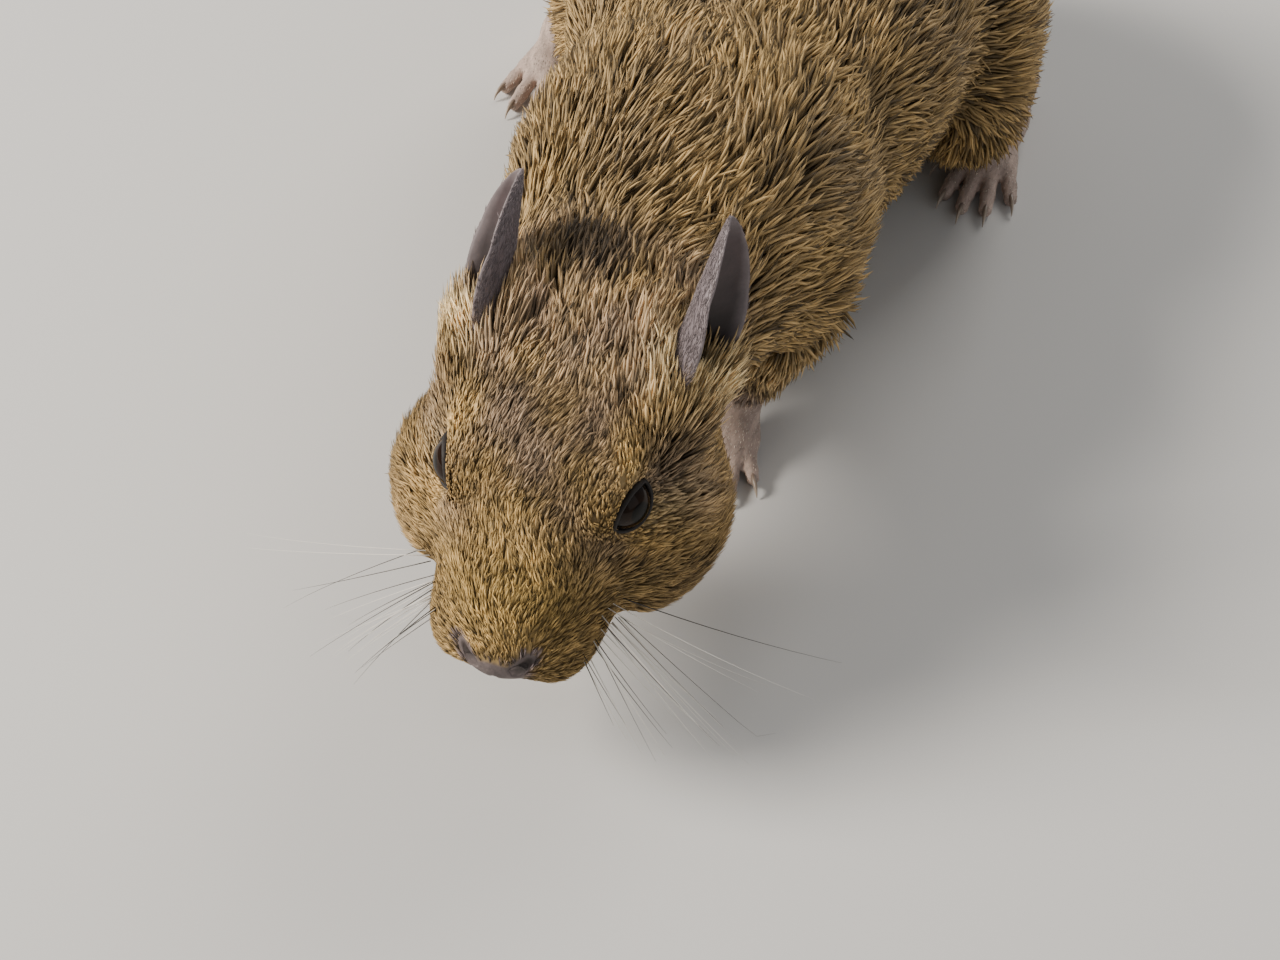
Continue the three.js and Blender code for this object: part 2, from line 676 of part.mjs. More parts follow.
function earGeometry(side) {
  const root = new THREE.Vector3(...earRoots[side]);
  const up = new THREE.Vector3(...earTips[side]).sub(root);
  const length = up.length();
  up.normalize();
  const facing = new THREE.Vector3(...earFacing[side]);
  facing.addScaledVector(up, -facing.dot(up)).normalize();
  const across = up.clone().cross(facing);

  const halfWidth = (t) => {
    const rise = Math.sin((Math.PI / 2) * THREE.MathUtils.clamp(t / ear.widest, -0.9, 1));
    const low = ear.base + (1 - ear.base) * rise;
    const high = t > ear.widest ? (1 - ((t - ear.widest) / (1.01 - ear.widest)) ** 1.9) ** 0.66 : 1;
    return (ear.width / 2) * low * high;
  };
  const wrap = (t) => radians(THREE.MathUtils.lerp(...ear.curl, Math.min(Math.max(t, 0) * 1.6, 1)));
  const rows = 12;
  const columns = 9;
  const points = [];
  for (const skin of [0, 1]) {
    for (let row = 0; row <= rows; row += 1) {
      const t = -0.2 + (1.2 * row) / rows;
      const radius = halfWidth(t) / wrap(t);
      const wall = (ear.wall + 2.2 * Math.max(0.12 - t, 0)) * (1 - 0.35 * Math.max(t, 0));
      const centre = root.clone().addScaledVector(up, length * t);
      centre.addScaledVector(facing, radius * 0.75 + 1.6 * Math.sin(Math.PI * Math.max(t, 0)) - 1.2);
      for (let column = 0; column <= columns; column += 1) {
        const angle = wrap(t) * (2 * (column / columns) - 1);
        const r = Math.max(radius - skin * wall, 0.2);
        points.push(centre.clone()
          .addScaledVector(across, r * Math.sin(angle))
          .addScaledVector(facing, -r * Math.cos(angle)));
      }
    }
  }
  const point = (skin, row, column) => (skin * (rows + 1) + row) * (columns + 1) + column;
  const faces = [];
  const quad = (a, b, c, d) => faces.push(a, b, c, a, c, d);
  for (let row = 0; row < rows; row += 1) {
    for (let column = 0; column < columns; column += 1) {
      for (const skin of [0, 1]) {
        const corners = [
          point(skin, row, column),
          point(skin, row, column + 1),
          point(skin, row + 1, column + 1),
          point(skin, row + 1, column),
        ];
        quad(...(skin ? corners : corners.reverse()));
      }
    }
    const next = row + 1;
    quad(point(1, row, 0), point(1, next, 0), point(0, next, 0), point(0, row, 0));
    quad(point(0, row, columns), point(0, next, columns), point(1, next, columns), point(1, row, columns));
  }
  for (let column = 0; column < columns; column += 1) {
    const low = [point(0, 0, column), point(1, 0, column), point(1, 0, column + 1), point(0, 0, column + 1)];
    quad(...low.map((n) => n + rows * (columns + 1)));
    quad(...low.reverse());
  }
  const geometry = new THREE.BufferGeometry().setFromPoints(points);
  geometry.setIndex(faces);
  return geometry;
}

function makeEar(side) {
  const clear = solid(swollen(headSurface, gap));
  addPart(`ear_${side}`, solid(earGeometry(side)).subtract(clear), colours.ear, headGroup);
}

// Tail: down from the rump to the floor, then along it in a gentle curve to the brush

function tailPath() {
  const start = [sideways(tail.floorFrom), tail.floorFrom];
  const points = [];
  const stations = 7;
  for (let n = 0; n < stations; n += 1) {
    const t = n / (stations - 1);
    const radius = THREE.MathUtils.lerp(...tail.radii, t);
    const across = start[0] + tail.sway[0] * Math.sin(Math.PI * t) + tail.sway[1] * t * t;
    points.push([across, start[1] + tail.length * t, radius - tail.sink]);
  }
  return smoothPath(points);
}

function makeTail() {
  const rootLines = evenLines([-34, 60, -4], [4, 110, 34], 2.8);
  const tailStart = cutAway(cutAway(solid(surfaceOf(animal, rootLines)), tailCut, 'back'), floorCut, 'front');
  addPart('tail_base', tailStart.subtract(floorBelow), colours.tail);

  const path = tailPath();
  const up = new THREE.Vector3(0, 0, 1);
  const bare = (t) => {
    const radius = THREE.MathUtils.lerp(...tail.radii, t);
    return [radius, radius];
  };
  const shaft = solid(sweep({ path, half: bare, up, sides: 10, steps: 22 })).subtract(floorBelow);
  const brushFrom = 1 - tailBrush.length / tail.length;
  const cut = { at: path.getPointAt(brushFrom).toArray(), towards: path.getTangentAt(brushFrom).toArray() };
  const middle = cutAway(cutAway(shaft, floorCut, 'back'), cut, 'front');
  addPart('tail_middle', middle, colours.tail);

  const full = (t) => {
    const swell = Math.sin(Math.PI * THREE.MathUtils.clamp((t - brushFrom) / (1 - brushFrom), 0, 1) ** 0.8);
    return bare(t).map((radius) => radius + tailBrush.swell * swell);
  };
  const core = cutAway(solid(sweep({ path, half: full, up, sides: 8, steps: 10 })), cut, 'back');
  addPart('tail_end', joined([core, ...brushLocks(path, brushFrom)]).subtract(floorBelow), colours.brush);
}

// Flat tapered locks, rooted in the core and fanning back from it, in staggered rows
function brushLocks(path, brushFrom) {
  const locks = [];
  for (let row = 0; row < lock.rows; row += 1) {
    const t = THREE.MathUtils.lerp(brushFrom, 1, (row + 0.55) / lock.rows);
    const centre = path.getPointAt(t);
    const along = path.getTangentAt(t);
    const level = new THREE.Vector3(0, 0, 1).cross(along).normalize();
    const above = along.clone().cross(level);
    for (let n = 0; n < lock.around; n += 1) {
      const turn = radians(lock.spread * ((2 * n + (row % 2)) / (lock.around - 0.5) - 1));
      const outward = above.clone().multiplyScalar(Math.cos(turn)).addScaledVector(level, Math.sin(turn));
      const spot = (back, out) => {
        const place = centre.clone().addScaledVector(along, back);
        return place.addScaledVector(outward, out).toArray();
      };
      const bend = smoothPath([
        spot(0, 0.5),
        spot(lock.length * 0.5, lock.flare * 0.7),
        spot(lock.length, lock.flare),
      ]);
      const taper = (s) => [lock.width * (1 - 0.8 * s), lock.thick * (1 - 0.7 * s)];
      locks.push(solid(sweep({ path: bend, half: taper, up: outward, sides: 4, steps: 3 })));
    }
  }
  return locks;
}

makeTrunk();
for (const side of ['left', 'right']) {
  for (const limb of limbs) {
    makeFoot(limb.footName, limb.foot, side);
  }
}
makeHead();
makeEar('left');
makeEar('right');
makeTail();

// The origin lies on the floor under the middle of the whole animal
const middle = new THREE.Box3().setFromObject(degu, true).getCenter(new THREE.Vector3());
degu.position.set(-middle.x, -middle.y, 0);
const model = new THREE.Group();
model.add(degu);

export default model;
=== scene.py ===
import math
import time

import bmesh
import bpy
import numpy as np
from mathutils import Euler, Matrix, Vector
from mathutils.kdtree import KDTree


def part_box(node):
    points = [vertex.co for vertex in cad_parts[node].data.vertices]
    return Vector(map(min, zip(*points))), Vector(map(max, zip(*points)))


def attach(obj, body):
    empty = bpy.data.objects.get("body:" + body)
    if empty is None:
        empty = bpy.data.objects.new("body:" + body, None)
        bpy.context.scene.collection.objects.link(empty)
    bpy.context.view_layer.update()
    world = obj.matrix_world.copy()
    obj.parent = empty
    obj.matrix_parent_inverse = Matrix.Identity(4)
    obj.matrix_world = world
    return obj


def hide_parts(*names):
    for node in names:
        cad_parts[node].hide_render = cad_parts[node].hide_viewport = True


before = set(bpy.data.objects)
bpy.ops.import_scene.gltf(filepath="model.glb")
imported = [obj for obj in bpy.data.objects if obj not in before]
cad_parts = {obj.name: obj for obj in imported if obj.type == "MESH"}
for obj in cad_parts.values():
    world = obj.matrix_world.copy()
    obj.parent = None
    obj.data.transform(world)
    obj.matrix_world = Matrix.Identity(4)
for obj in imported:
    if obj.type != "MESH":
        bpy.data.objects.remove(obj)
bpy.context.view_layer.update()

# A degu at life size. The body is planned in millimetres, facing -Y, and set into the frame in metres.

started = time.time()


def report(text):
    print(f"{time.time() - started:6.1f} s  {text}", flush=True)


def unit(v):
    return v / np.maximum(np.linalg.norm(v, axis=-1, keepdims=True), 1e-9)


def ramp(value, low, high):
    t = np.clip((value - low) / (high - low), 0, 1)
    return t * t * (3 - 2 * t)


def linear(hexColour):
    srgb = np.array([(hexColour >> shift) & 255 for shift in (16, 8, 0)]) / 255
    return np.where(srgb <= 0.04045, srgb / 12.92, ((srgb + 0.055) / 1.055) ** 2.4)


def rotation(turn, order="XYZ"):
    return np.array(Euler([math.radians(a) for a in turn], order).to_matrix())


# Soft forms: each is added softly to those before it, or taken from them where it is hollow

def blob(at, half, soft=0, turn=(0, 0, 0), pair=False, hollow=False):
    axes = rotation(turn)
    centre, size = np.array(at, float), np.array(half, float)

    def distance(p):
        q = ((p - centre) @ axes) / size
        depth = np.sqrt((q * q).sum(1))
        slope = np.sqrt(((q / size) ** 2).sum(1))
        return depth * (depth - 1) / np.maximum(slope, 1e-9)

    return {"distance": distance, "soft": soft, "pair": pair, "hollow": hollow}


def cone(start, end, radii, soft=0, pair=False, hollow=False):
    origin = np.array(start, float)
    axis = np.array(end, float) - origin
    length = np.linalg.norm(axis)
    axis = axis / length
    lean = (radii[0] - radii[1]) / length
    upright = math.sqrt(1 - lean * lean)

    def distance(p):
        q = p - origin
        along = q @ axis
        across = np.sqrt(np.maximum((q * q).sum(1) - along * along, 0))
        shifted = (along * upright - across * lean) / upright
        side = across * upright + along * lean - radii[0]
        side = np.where(shifted < 0, np.hypot(across, along) - radii[0], side)
        return np.where(shifted > length, np.hypot(across, along - length) - radii[1], side)

    return {"distance": distance, "soft": soft, "pair": pair, "hollow": hollow}


def softMin(a, b, soft):
    if soft <= 0:
        return np.minimum(a, b)
    overlap = np.maximum(soft - np.abs(a - b), 0)
    return np.minimum(a, b) - overlap * overlap / (4 * soft)


def grow(near, forms, p):
    twin = p * (-1, 1, 1)
    for form in forms:
        for spots in ((p, twin) if form["pair"] else (p,)):
            distance = form["distance"](spots)
            if form["hollow"]:
                near = -softMin(-near, distance, form["soft"])
            else:
                near = distance if near is None else softMin(near, distance, form["soft"])
    return near


# The body's plan, on the lines of the solid model

swing = {"from": -20, "run": 70, "reach": -7.5, "most": 1.72}  # the hips swing to the animal's right
headPose = {"at": (0, -68, 35), "pitch": 20, "roll": 2, "yaw": 2.5}
eye = {"radius": 3.5, "proud": 1.1, "behind": (3, -8.6, 1.6), "look": (0.86, -0.38, 0.3), "clear": 0.4}

trunkForms = [
    blob((0, 37, 32), (35.5, 34, 28.5)),  # hips
    blob((0, 9, 36), (29, 33, 23.5), 12),  # loin
    blob((0, 12, 24), (24, 36, 16), 8),  # belly
    blob((0, -22, 34), (21.5, 27, 19), 12),  # chest
    blob((0, -28, 40), (18, 22, 15), 10),  # shoulders
    cone((0, -32, 35), (0, -56, 37), (20, 16.5), 10),  # nape
]
headForms = [
    blob((0, 0, 0.5), (15.5, 17, 12.5), 8),  # cranium
    blob((10.3, -8, -6.9), (9.7, 12.6, 9.1), 5, pair=True),  # cheeks
    cone((0, -10, 0.5), (0, -22.5, -3.6), (11, 8), 6),  # bridge of the nose
    blob((4.9, -23.6, -6.2), (5.3, 7, 4.8), 3.5, pair=True),  # whisker pads
    blob((0, -28.8, -4.2), (3.9, 3.4, 2.9), 2.4),  # nose pad
    blob((0, -17.5, -12.2), (5.8, 10.4, 3.9), 3),  # chin
    blob((7.2, -9.6, 6.4), (3.4, 6.4, 2.9), 3, pair=True),  # brows
    blob((14.3, -13.2, 3.9), (3.4, 4.6, 3.8), 3, pair=True, hollow=True),  # eye hollows
]
legForms = [
    blob((28, 38, 24), (11.5, 22, 19), 8, (-15, 0, 6), pair=True),  # haunches
    cone((29, 29, 16), (36, 51, 8.4), (7.8, 4.2), 6, pair=True),  # shanks
    blob((13.6, -25.5, 27.5), (8.4, 12.5, 12.5), 8, pair=True),  # shoulder blades
    cone((14.6, -21, 16), (10.2, -33, 6.8), (7, 3.7), 5, pair=True),  # forearms
]
tailRootForms = [
    cone((0, 64, 22), (0, 80, 12), (7, 4), 8),
    cone((0, 80, 12), (0, 91, 6.2), (4, 3.4), 2.5),
    cone((0, 91, 6.2), (0, 100, 2.89), (3.4, 3.05), 1.5),
]

hindFoot = {
    "ankle": (37, 51.5), "splay": 1, "toeRow": -18.5, "toeWidth": 2.15, "toeRadius": 1.35,
    "forms": [
        cone((0, 2.6, 4.4), (0, -10, 4.2), (4.2, 3.9)),
        cone((0, -8, 3.6), (0, -18.5, 2.9), (4, 2.9), 3),
        blob((0, -17, 2.2), (4.7, 4.6, 2.7), 2.5),
    ],
    "toes": [  # length, place across in toe widths, place back, heading
        (5.2, -2.1, 4.5, -26), (8.6, -1.35, 0.8, -12), (10.2, -0.45, 0, -3),
        (9.8, 0.5, 0.2, 6), (7.4, 1.45, 1.4, 17),
    ],
}
foreFoot = {
    "ankle": (9.9, -33.6), "splay": 5, "toeRow": -5.8, "toeWidth": 1.95, "toeRadius": 1.12,
    "forms": [
        cone((0, 1, 5.2), (0, -3, 2.9), (3.1, 3)),
        blob((0, -4, 2.3), (3.7, 4, 2.5), 2.5),
    ],
    "toes": [
        (2.2, -1.75, 3, -48), (5.2, -1.2, 0.3, -22), (6.4, -0.4, -0.2, -7),
        (6.1, 0.45, 0, 8), (4.4, 1.25, 0.7, 24),
    ],
}
footRoom = {"along": 16, "across": 12}  # how far from a foot its forms are still worked out
# along the toe: a distance, the share of its length added to that, the height in toe radii
toeBends = [(-1.6, 0, 1.5), (0, 0.3, 1.75), (0, 0.68, 1.25), (0, 1, 0.86)]
stubToe = {"below": 3, "thick": 0.75, "claw": 0.5}  # the short first toe of the forefoot
tail = {
    "floorFrom": 100, "length": 70, "stations": 24, "radii": (3.05, 1.5), "sink": 0.16, "sway": (-7.8, 12),
    "brush": 34,
}

headTurn = rotation((headPose["pitch"], headPose["roll"], headPose["yaw"]), "YXZ")
headAt = np.array(headPose["at"], float)


def toHead(p):
    return (p - headAt) @ headTurn


def fromHead(p):
    return p @ headTurn.T + headAt


def sideways(y):
    turns = np.clip((y - swing["from"]) / swing["run"], 0, swing["most"])
    return swing["reach"] * turns * turns


def straightened(p):
    q = p.copy()
    q[:, 0] -= sideways(p[:, 1])
    return q


def bodyField(p):
    straight = straightened(p)
    near = grow(None, trunkForms, straight)
    front = p[:, 1] < -26
    near[front] = grow(near[front], headForms, toHead(p[front]))
    near = grow(near, legForms, straight)
    behind = p[:, 1] > 50
    near[behind] = grow(near[behind], tailRootForms, straight[behind])
    return near


def mirrored(triple, side):
    return np.array([side * triple[0], triple[1], triple[2]], float)


def onBody(start, direction):
    # where a ray in the head's own frame leaves the body
    heading = unit(np.array(direction, float))
    near, far = 0.0, 40.0
    for _ in range(30):
        middle = (near + far) / 2
        inside = bodyField(fromHead(np.array([start + heading * middle])))[0] < 0
        near, far = (middle, far) if inside else (near, middle)
    return start + heading * near


eyeLooks = {side: unit(mirrored(eye["look"], side)) for side in (1, -1)}
eyeCentres = {
    side: onBody(mirrored(eye["behind"], side), eyeLooks[side])
    + eyeLooks[side] * (eye["proud"] - eye["radius"])
    for side in (1, -1)
}


def eyeAway(head):
    return np.minimum(*(np.linalg.norm(head - eyeCentres[side], axis=1) for side in (1, -1)))


# The frame's origin is under the middle of the whole animal, so the plan is shifted until its eye meets
# the frame's own
eyeLow, eyeHigh = (np.array(corner) * 1000 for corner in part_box("eye_left"))
frameShift = (eyeLow + eyeHigh) / 2 - fromHead(eyeCentres[1])
report(f"plan set into the frame, shifted by {np.round(frameShift, 2)}")


def toFrame(p):
    return (p + frameShift) / 1000


# Feet and tail

def footPlace(foot, side):
    across, back = foot["ankle"]
    return rotation((0, 0, side * foot["splay"])), np.array([side * across + sideways(back), back, 0.0])


def toePath(foot, toe, side):
    length, across, back, heading = toe
    angle = math.radians(side * heading)
    ahead = np.array([math.sin(angle), -math.cos(angle)])
    start = np.array([side * across * foot["toeWidth"], foot["toeRow"] + back])
    thick = foot["toeRadius"] * (stubToe["thick"] if length < stubToe["below"] else 1)

    def spotAt(reach, height):
        return np.array([*(start + ahead * reach), height])

    return [spotAt(before + length * share, thick * high) for before, share, high in toeBends], thick, spotAt


footSet = []
for foot in (hindFoot, foreFoot):
    for side in (1, -1):
        forms = list(foot["forms"])
        for toe in foot["toes"]:
            points, thick, _ = toePath(foot, toe, side)
            for n in range(len(points) - 1):
                radii = (thick * (1.02 - 0.06 * n), thick * (0.96 - 0.06 * n))
                forms.append(cone(points[n], points[n + 1], radii, 0.5 if n else 1.2))
        turn, at = footPlace(foot, side)
        footSet.append({"foot": foot, "forms": forms, "turn": turn, "at": at})


def feetField(p):
    near = np.full(len(p), 1e3)
    for one in footSet:
        local = (p - one["at"]) @ one["turn"]
        half = one["foot"]["toeRow"] / 2
        close = np.abs(local[:, 1] - half) < footRoom["along"] - half
        close &= np.abs(local[:, 0]) < footRoom["across"]
        if close.any():
            near[close] = np.minimum(near[close], grow(None, one["forms"], local[close]))
    return near


def tailPoints():
    t = np.linspace(0, 1, tail["stations"])
    bow, swerve = tail["sway"]
    x = sideways(np.array(tail["floorFrom"])) + bow * np.sin(np.pi * t) + swerve * t * t
    radius = tail["radii"][0] + (tail["radii"][1] - tail["radii"][0]) * t
    y = tail["floorFrom"] + tail["length"] * t
    return np.stack([x, y, radius - tail["sink"]], 1), radius


# How far the skin lies inside the coat's outer form

coatDepths = {
    "body": 3.2,
    "leg": 1.1, "legUp": (7, 20),  # heights between which a leg turns to body
    "tailRoot": 0.8, "tailRootBack": (66, 82),
    "tail": 0.35, "tailBack": (84, 98),
    "headStations": (-33, -30, -25, -8, 4, 14),  # along the head, from the nose back
    "headDepths": (0.02, 0.15, 0.6, 1.05, 1.7, 2.6),
    "headBack": (-64, -47),
    "atEye": 0.5, "eyeOut": (3.6, 7.5),  # the share that is left beside the eyes
}

tailLine, tailRadius = tailPoints()
tailForms = [
    cone(tailLine[n], tailLine[n + 1], tuple(tailRadius[n : n + 2] - coatDepths["tail"]), 0.3)
    for n in range(len(tailLine) - 1)
]

# The skin: the body's plan drawn in by the depth of the coat, with feet, tail, mouth and nostrils


def coatDepth(p):
    head = toHead(p)
    face = np.interp(head[:, 1], coatDepths["headStations"], coatDepths["headDepths"])
    depth = np.full(len(p), float(coatDepths["body"]))
    depth += (coatDepths["leg"] - depth) * (1 - ramp(p[:, 2], *coatDepths["legUp"]))
    depth += (coatDepths["tailRoot"] - depth) * ramp(p[:, 1], *coatDepths["tailRootBack"])
    depth += (coatDepths["tail"] - depth) * ramp(p[:, 1], *coatDepths["tailBack"])
    depth += (face - depth) * (1 - ramp(p[:, 1], *coatDepths["headBack"]))
    atEye = coatDepths["atEye"]
    return depth * (atEye + (1 - atEye) * ramp(eyeAway(head), *coatDepths["eyeOut"]))


nose = {
    "bareAt": (0, -31.9, -4.7), "bareHalf": (3.3, 2.5, 2.5),  # the hairless pad
    "across": 2.6, "height": -3.3, "front": -31.3, "depth": 2.3,  # the nostrils
    "holeRadii": (0.5, 0.85), "slitRadii": (0.7, 0.4),
    "cleftTop": (0, -32.1, -4.6), "cleftRadii": (0.2, 0.3),  # the groove down to the lips
}
mouth = {"centre": (0, -16, -10.2), "corner": 74, "width": 0.34, "taper": 0.98, "stations": 15, "lift": 0.9}
skinPlan = {
    "feetBelow": 14, "feetInset": 0.08, "feetSoft": 1.0, "tailFrom": 84, "muzzleTo": -78, "overFloor": 0.03,
}


def mouthLine():
    spots = []
    for n in range(mouth["stations"]):
        turn = math.radians(mouth["corner"] * (2 * n / (mouth["stations"] - 1) - 1))
        start = np.array(mouth["centre"]) - (0, 0, mouth["lift"] * math.sin(turn) ** 2)
        spots.append(onBody(start, (math.sin(turn), -math.cos(turn), 0)))
    return spots


lipLine = mouthLine()
lipRadii = (mouth["width"], mouth["width"] * mouth["taper"])
faceForms = [cone(start, end, lipRadii, 0.5, hollow=True) for start, end in zip(lipLine, lipLine[1:])]


def lineAway(p, spots):
    away = np.full(len(p), 1e3)
    for start, end in zip(spots, spots[1:]):
        axis = end - start
        t = np.clip((p - start) @ axis / (axis @ axis), 0, 1)
        away = np.minimum(away, np.linalg.norm(p - start - t[:, None] * axis, axis=1))
    return away


def nostrilSpots(side):
    # inside the nose, the rim, and the end of the slit that curls up behind it
    return [
        np.array([side * nose["across"] * 0.5, nose["front"] + nose["depth"], nose["height"] - 0.2]),
        np.array([side * nose["across"], nose["front"], nose["height"]]),
        np.array([side * (nose["across"] + 0.9), nose["front"] + 1.6, nose["height"] + 0.75]),
    ]


def nostrilAway(head):
    return np.minimum(*(lineAway(head, nostrilSpots(side)[1:]) for side in (1, -1)))


faceForms.append(cone(nose["cleftTop"], lipLine[len(lipLine) // 2], nose["cleftRadii"], 0.5, hollow=True))
for side in (1, -1):
    inner, outer, wing = nostrilSpots(side)
    faceForms.append(cone(inner, outer, nose["holeRadii"], 0.3, hollow=True))
    faceForms.append(cone(outer, wing, nose["slitRadii"], 0.3, hollow=True))


def skinField(p, detail=True):
    near = bodyField(p) + coatDepth(p)
    low = p[:, 2] < skinPlan["feetBelow"]
    near[low] = softMin(near[low], feetField(p[low]) + skinPlan["feetInset"], skinPlan["feetSoft"])
    behind = p[:, 1] > skinPlan["tailFrom"]
    near[behind] = grow(near[behind], tailForms, p[behind])
    if detail:
        muzzle = p[:, 1] < skinPlan["muzzleTo"]
        near[muzzle] = grow(near[muzzle], faceForms, toHead(p[muzzle]))
    return np.maximum(near, skinPlan["overFloor"] - p[:, 2])


def slopeOf(field, p, step=0.04):
    base = field(p)
    slope = np.stack([field(p + np.eye(3)[axis] * step) - base for axis in range(3)], 1) / step
    return base, slope


def settle(field, p, rounds=3, most=1.0):
    for _ in range(rounds):
        off, slope = slopeOf(field, p)
        move = slope * (off / np.maximum((slope * slope).sum(1), 0.15))[:, None]
        size = np.linalg.norm(move, axis=1, keepdims=True)
        p = p - move * np.minimum(1, most / np.maximum(size, 1e-9))
    return p


def gridLine(stops):
    # stops: (place, step) pairs, the last with no step of its own
    line = [np.array([stops[0][0]])]
    for (start, step), (end, _) in zip(stops, stops[1:]):
        count = max(1, round((end - start) / step))
        line.append(start + (end - start) * np.arange(1, count + 1) / count)
    line = np.concatenate(line)
    extra = (-(len(line) - 1)) % 4
    return np.append(line, line[-1] + (line[-1] - line[-2]) * np.arange(1, extra + 1))


def surfaceOf(field, lines):
    # one point in each cell that the surface crosses, one quad round each crossed grid edge
    coarse = [line[::4] for line in lines]
    corners = np.stack(np.meshgrid(*coarse, indexing="ij"), -1)
    rough = field(corners.reshape(-1, 3)).reshape(corners.shape[:3])
    cells = [slice(None, -1), slice(1, None)]
    eight = np.stack([rough[a, b, c] for a in cells for b in cells for c in cells])
    reach = math.sqrt(sum(np.diff(line).max() ** 2 for line in coarse))
    hot = np.abs(eight).min(0) < reach
    for axis in range(3):
        hot = hot.repeat(4, axis)
    count = [len(line) for line in lines]
    mask = np.zeros(count, bool)
    for a in cells:
        for b in cells:
            for c in cells:
                mask[a, b, c] |= hot
    value = rough
    for axis in range(3):
        value = value.repeat(4, axis)
    value = value[: count[0], : count[1], : count[2]].astype(np.float32)
    where = np.argwhere(mask)
    spots = np.stack([lines[axis][where[:, axis]] for axis in range(3)], 1)
    value[mask] = np.concatenate([field(part) for part in np.array_split(spots, 1 + len(spots) // 200000)])

    inside = value < 0
    sums, owners, quads = [], [], []
    strides = np.array([count[1] * count[2], count[2], 1])
    for axis in range(3):
        first, second = [slice(None)] * 3, [slice(None)] * 3
        first[axis], second[axis] = cells
        crossed = np.argwhere(inside[tuple(first)] != inside[tuple(second)])
        other = crossed.copy()
        other[:, axis] += 1
        low, high = value[tuple(crossed.T)], value[tuple(other.T)]
        t = (low / (low - high)).astype(float)
        spot = np.stack([lines[n][crossed[:, n]] for n in range(3)], 1)
        spot[:, axis] += (lines[axis][other[:, axis]] - spot[:, axis]) * t
        u, v = (axis + 1) % 3, (axis + 2) % 3
        ring = []
        for du, dv in ((0, 0), (1, 0), (1, 1), (0, 1)):
            cell = crossed.copy()
            cell[:, u] -= du
            cell[:, v] -= dv
            ring.append(cell @ strides)
            owners.append(ring[-1])
            sums.append(spot)
        ring = np.stack(ring, 1)
        ring[low >= 0] = ring[low >= 0][:, ::-1]
        quads.append(ring)
    owners, sums, quads = np.concatenate(owners), np.concatenate(sums), np.concatenate(quads)
    names, index = np.unique(owners, return_inverse=True)
    share = np.bincount(index)
    points = np.stack([np.bincount(index, sums[:, n]) / share for n in range(3)], 1)
    return points, np.searchsorted(names, quads)


skinGrid = {
    "x": [(-56, 0.75), (-24, 0.62), (24, 0.75), (40, 0)],
    "y": [(-104, 0.6), (-48, 0.9), (-28, 1.1), (18, 0.75), (62, 1.0), (92, 0.7), (176, 0)],
    "z": [(-1.2, 0.6), (10, 0.66), (56, 0.9), (64, 0)],
}


def newMesh(name, points, faces):
    mesh = bpy.data.meshes.new(name)
    mesh.from_pydata(points.tolist(), [], faces)
    return mesh


def newObject(name, data):
    obj = bpy.data.objects.new(name, data)
    bpy.context.collection.objects.link(obj)
    return obj


def place(mesh, material):
    obj = newObject(mesh.name, mesh)
    mesh.materials.append(material)
    mesh.shade_smooth()
    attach(obj, "root")
    return obj


def writeColour(mesh, name, colour):
    attribute = mesh.attributes.new(name, "FLOAT_COLOR", "POINT")
    rgba = np.ones((len(colour), 4), np.float32)
    rgba[:, :3] = colour
    attribute.data.foreach_set("color", rgba.ravel())


def writeValue(mesh, name, value):
    attribute = mesh.attributes.new(name, "FLOAT", "POINT")
    attribute.data.foreach_set("value", np.asarray(value, np.float32).ravel())


def refine(mesh, test):
    # finer faces where test(points) holds, for the face and its features
    form = bmesh.new()
    form.from_mesh(mesh)
    spots = np.array([v.co for v in form.verts])
    wanted = test(spots)
    form.verts.ensure_lookup_table()
    edges = [e for e in form.edges if wanted[e.verts[0].index] and wanted[e.verts[1].index]]
    bmesh.ops.subdivide_edges(form, edges=edges, cuts=1, use_grid_fill=True)
    form.to_mesh(mesh)
    form.free()


def pointsOf(mesh):
    flat = np.empty(len(mesh.vertices) * 3, np.float32)
    mesh.vertices.foreach_get("co", flat)
    return flat.reshape(-1, 3).astype(float)


def setPoints(mesh, points):
    mesh.vertices.foreach_set("co", np.asarray(points, np.float32).ravel())
    mesh.update()


def buildSkin():
    lines = [gridLine(skinGrid[axis]) for axis in "xyz"]
    points, quads = surfaceOf(lambda p: skinField(p, detail=False), lines)
    report(f"skin surface: {len(points)} points")
    mesh = newMesh("skin", settle(skinField, points, rounds=2), quads.tolist())
    mesh.validate()

    def muzzle(p):
        return toHead(p)[:, 1] < -22

    def noseAndLips(p):
        h = toHead(p)
        return (h[:, 1] < -25.5) & (h[:, 2] > -13) & (np.abs(h[:, 0]) < 7)

    def eyes(p):
        return eyeAway(toHead(p)) < 6

    refine(mesh, lambda p: muzzle(p) | eyes(p))
    refine(mesh, noseAndLips)
    setPoints(mesh, settle(skinField, pointsOf(mesh), rounds=3, most=0.4))
    report(f"skin: {len(mesh.polygons)} faces")
    return mesh


# Markings: colour by place on the body, shared by skin and coat

coatColours = {
    "back": linear(0xA08557),
    "backGrey": linear(0x76654D),
    "flank": linear(0x9B8053),
    "belly": linear(0xC0A67A),
    "forehead": linear(0x967F66),
    # painted shadow on the nape behind the crown, where the head shades the neck
    "napeShadow": linear(0x4A3D2E),
    "ochre": linear(0xC6A264),
    "cream": linear(0xEBD2A0),
    "brow": linear(0xE8C27C),
    "muzzle": linear(0xB09257),
    "lip": linear(0xAC9C84),
    "nose": linear(0x6F6260),
    # painted shade for the mouth's groove and down the nostrils
    "creaseShade": linear(0x2A1E1A),
    "foot": linear(0xBBA497),
    "footHair": linear(0xC9BCAE),
    "tailTop": linear(0x64513A),
    "tailUnder": linear(0xA08C68),
    "tailTip": linear(0x1C1815),
}


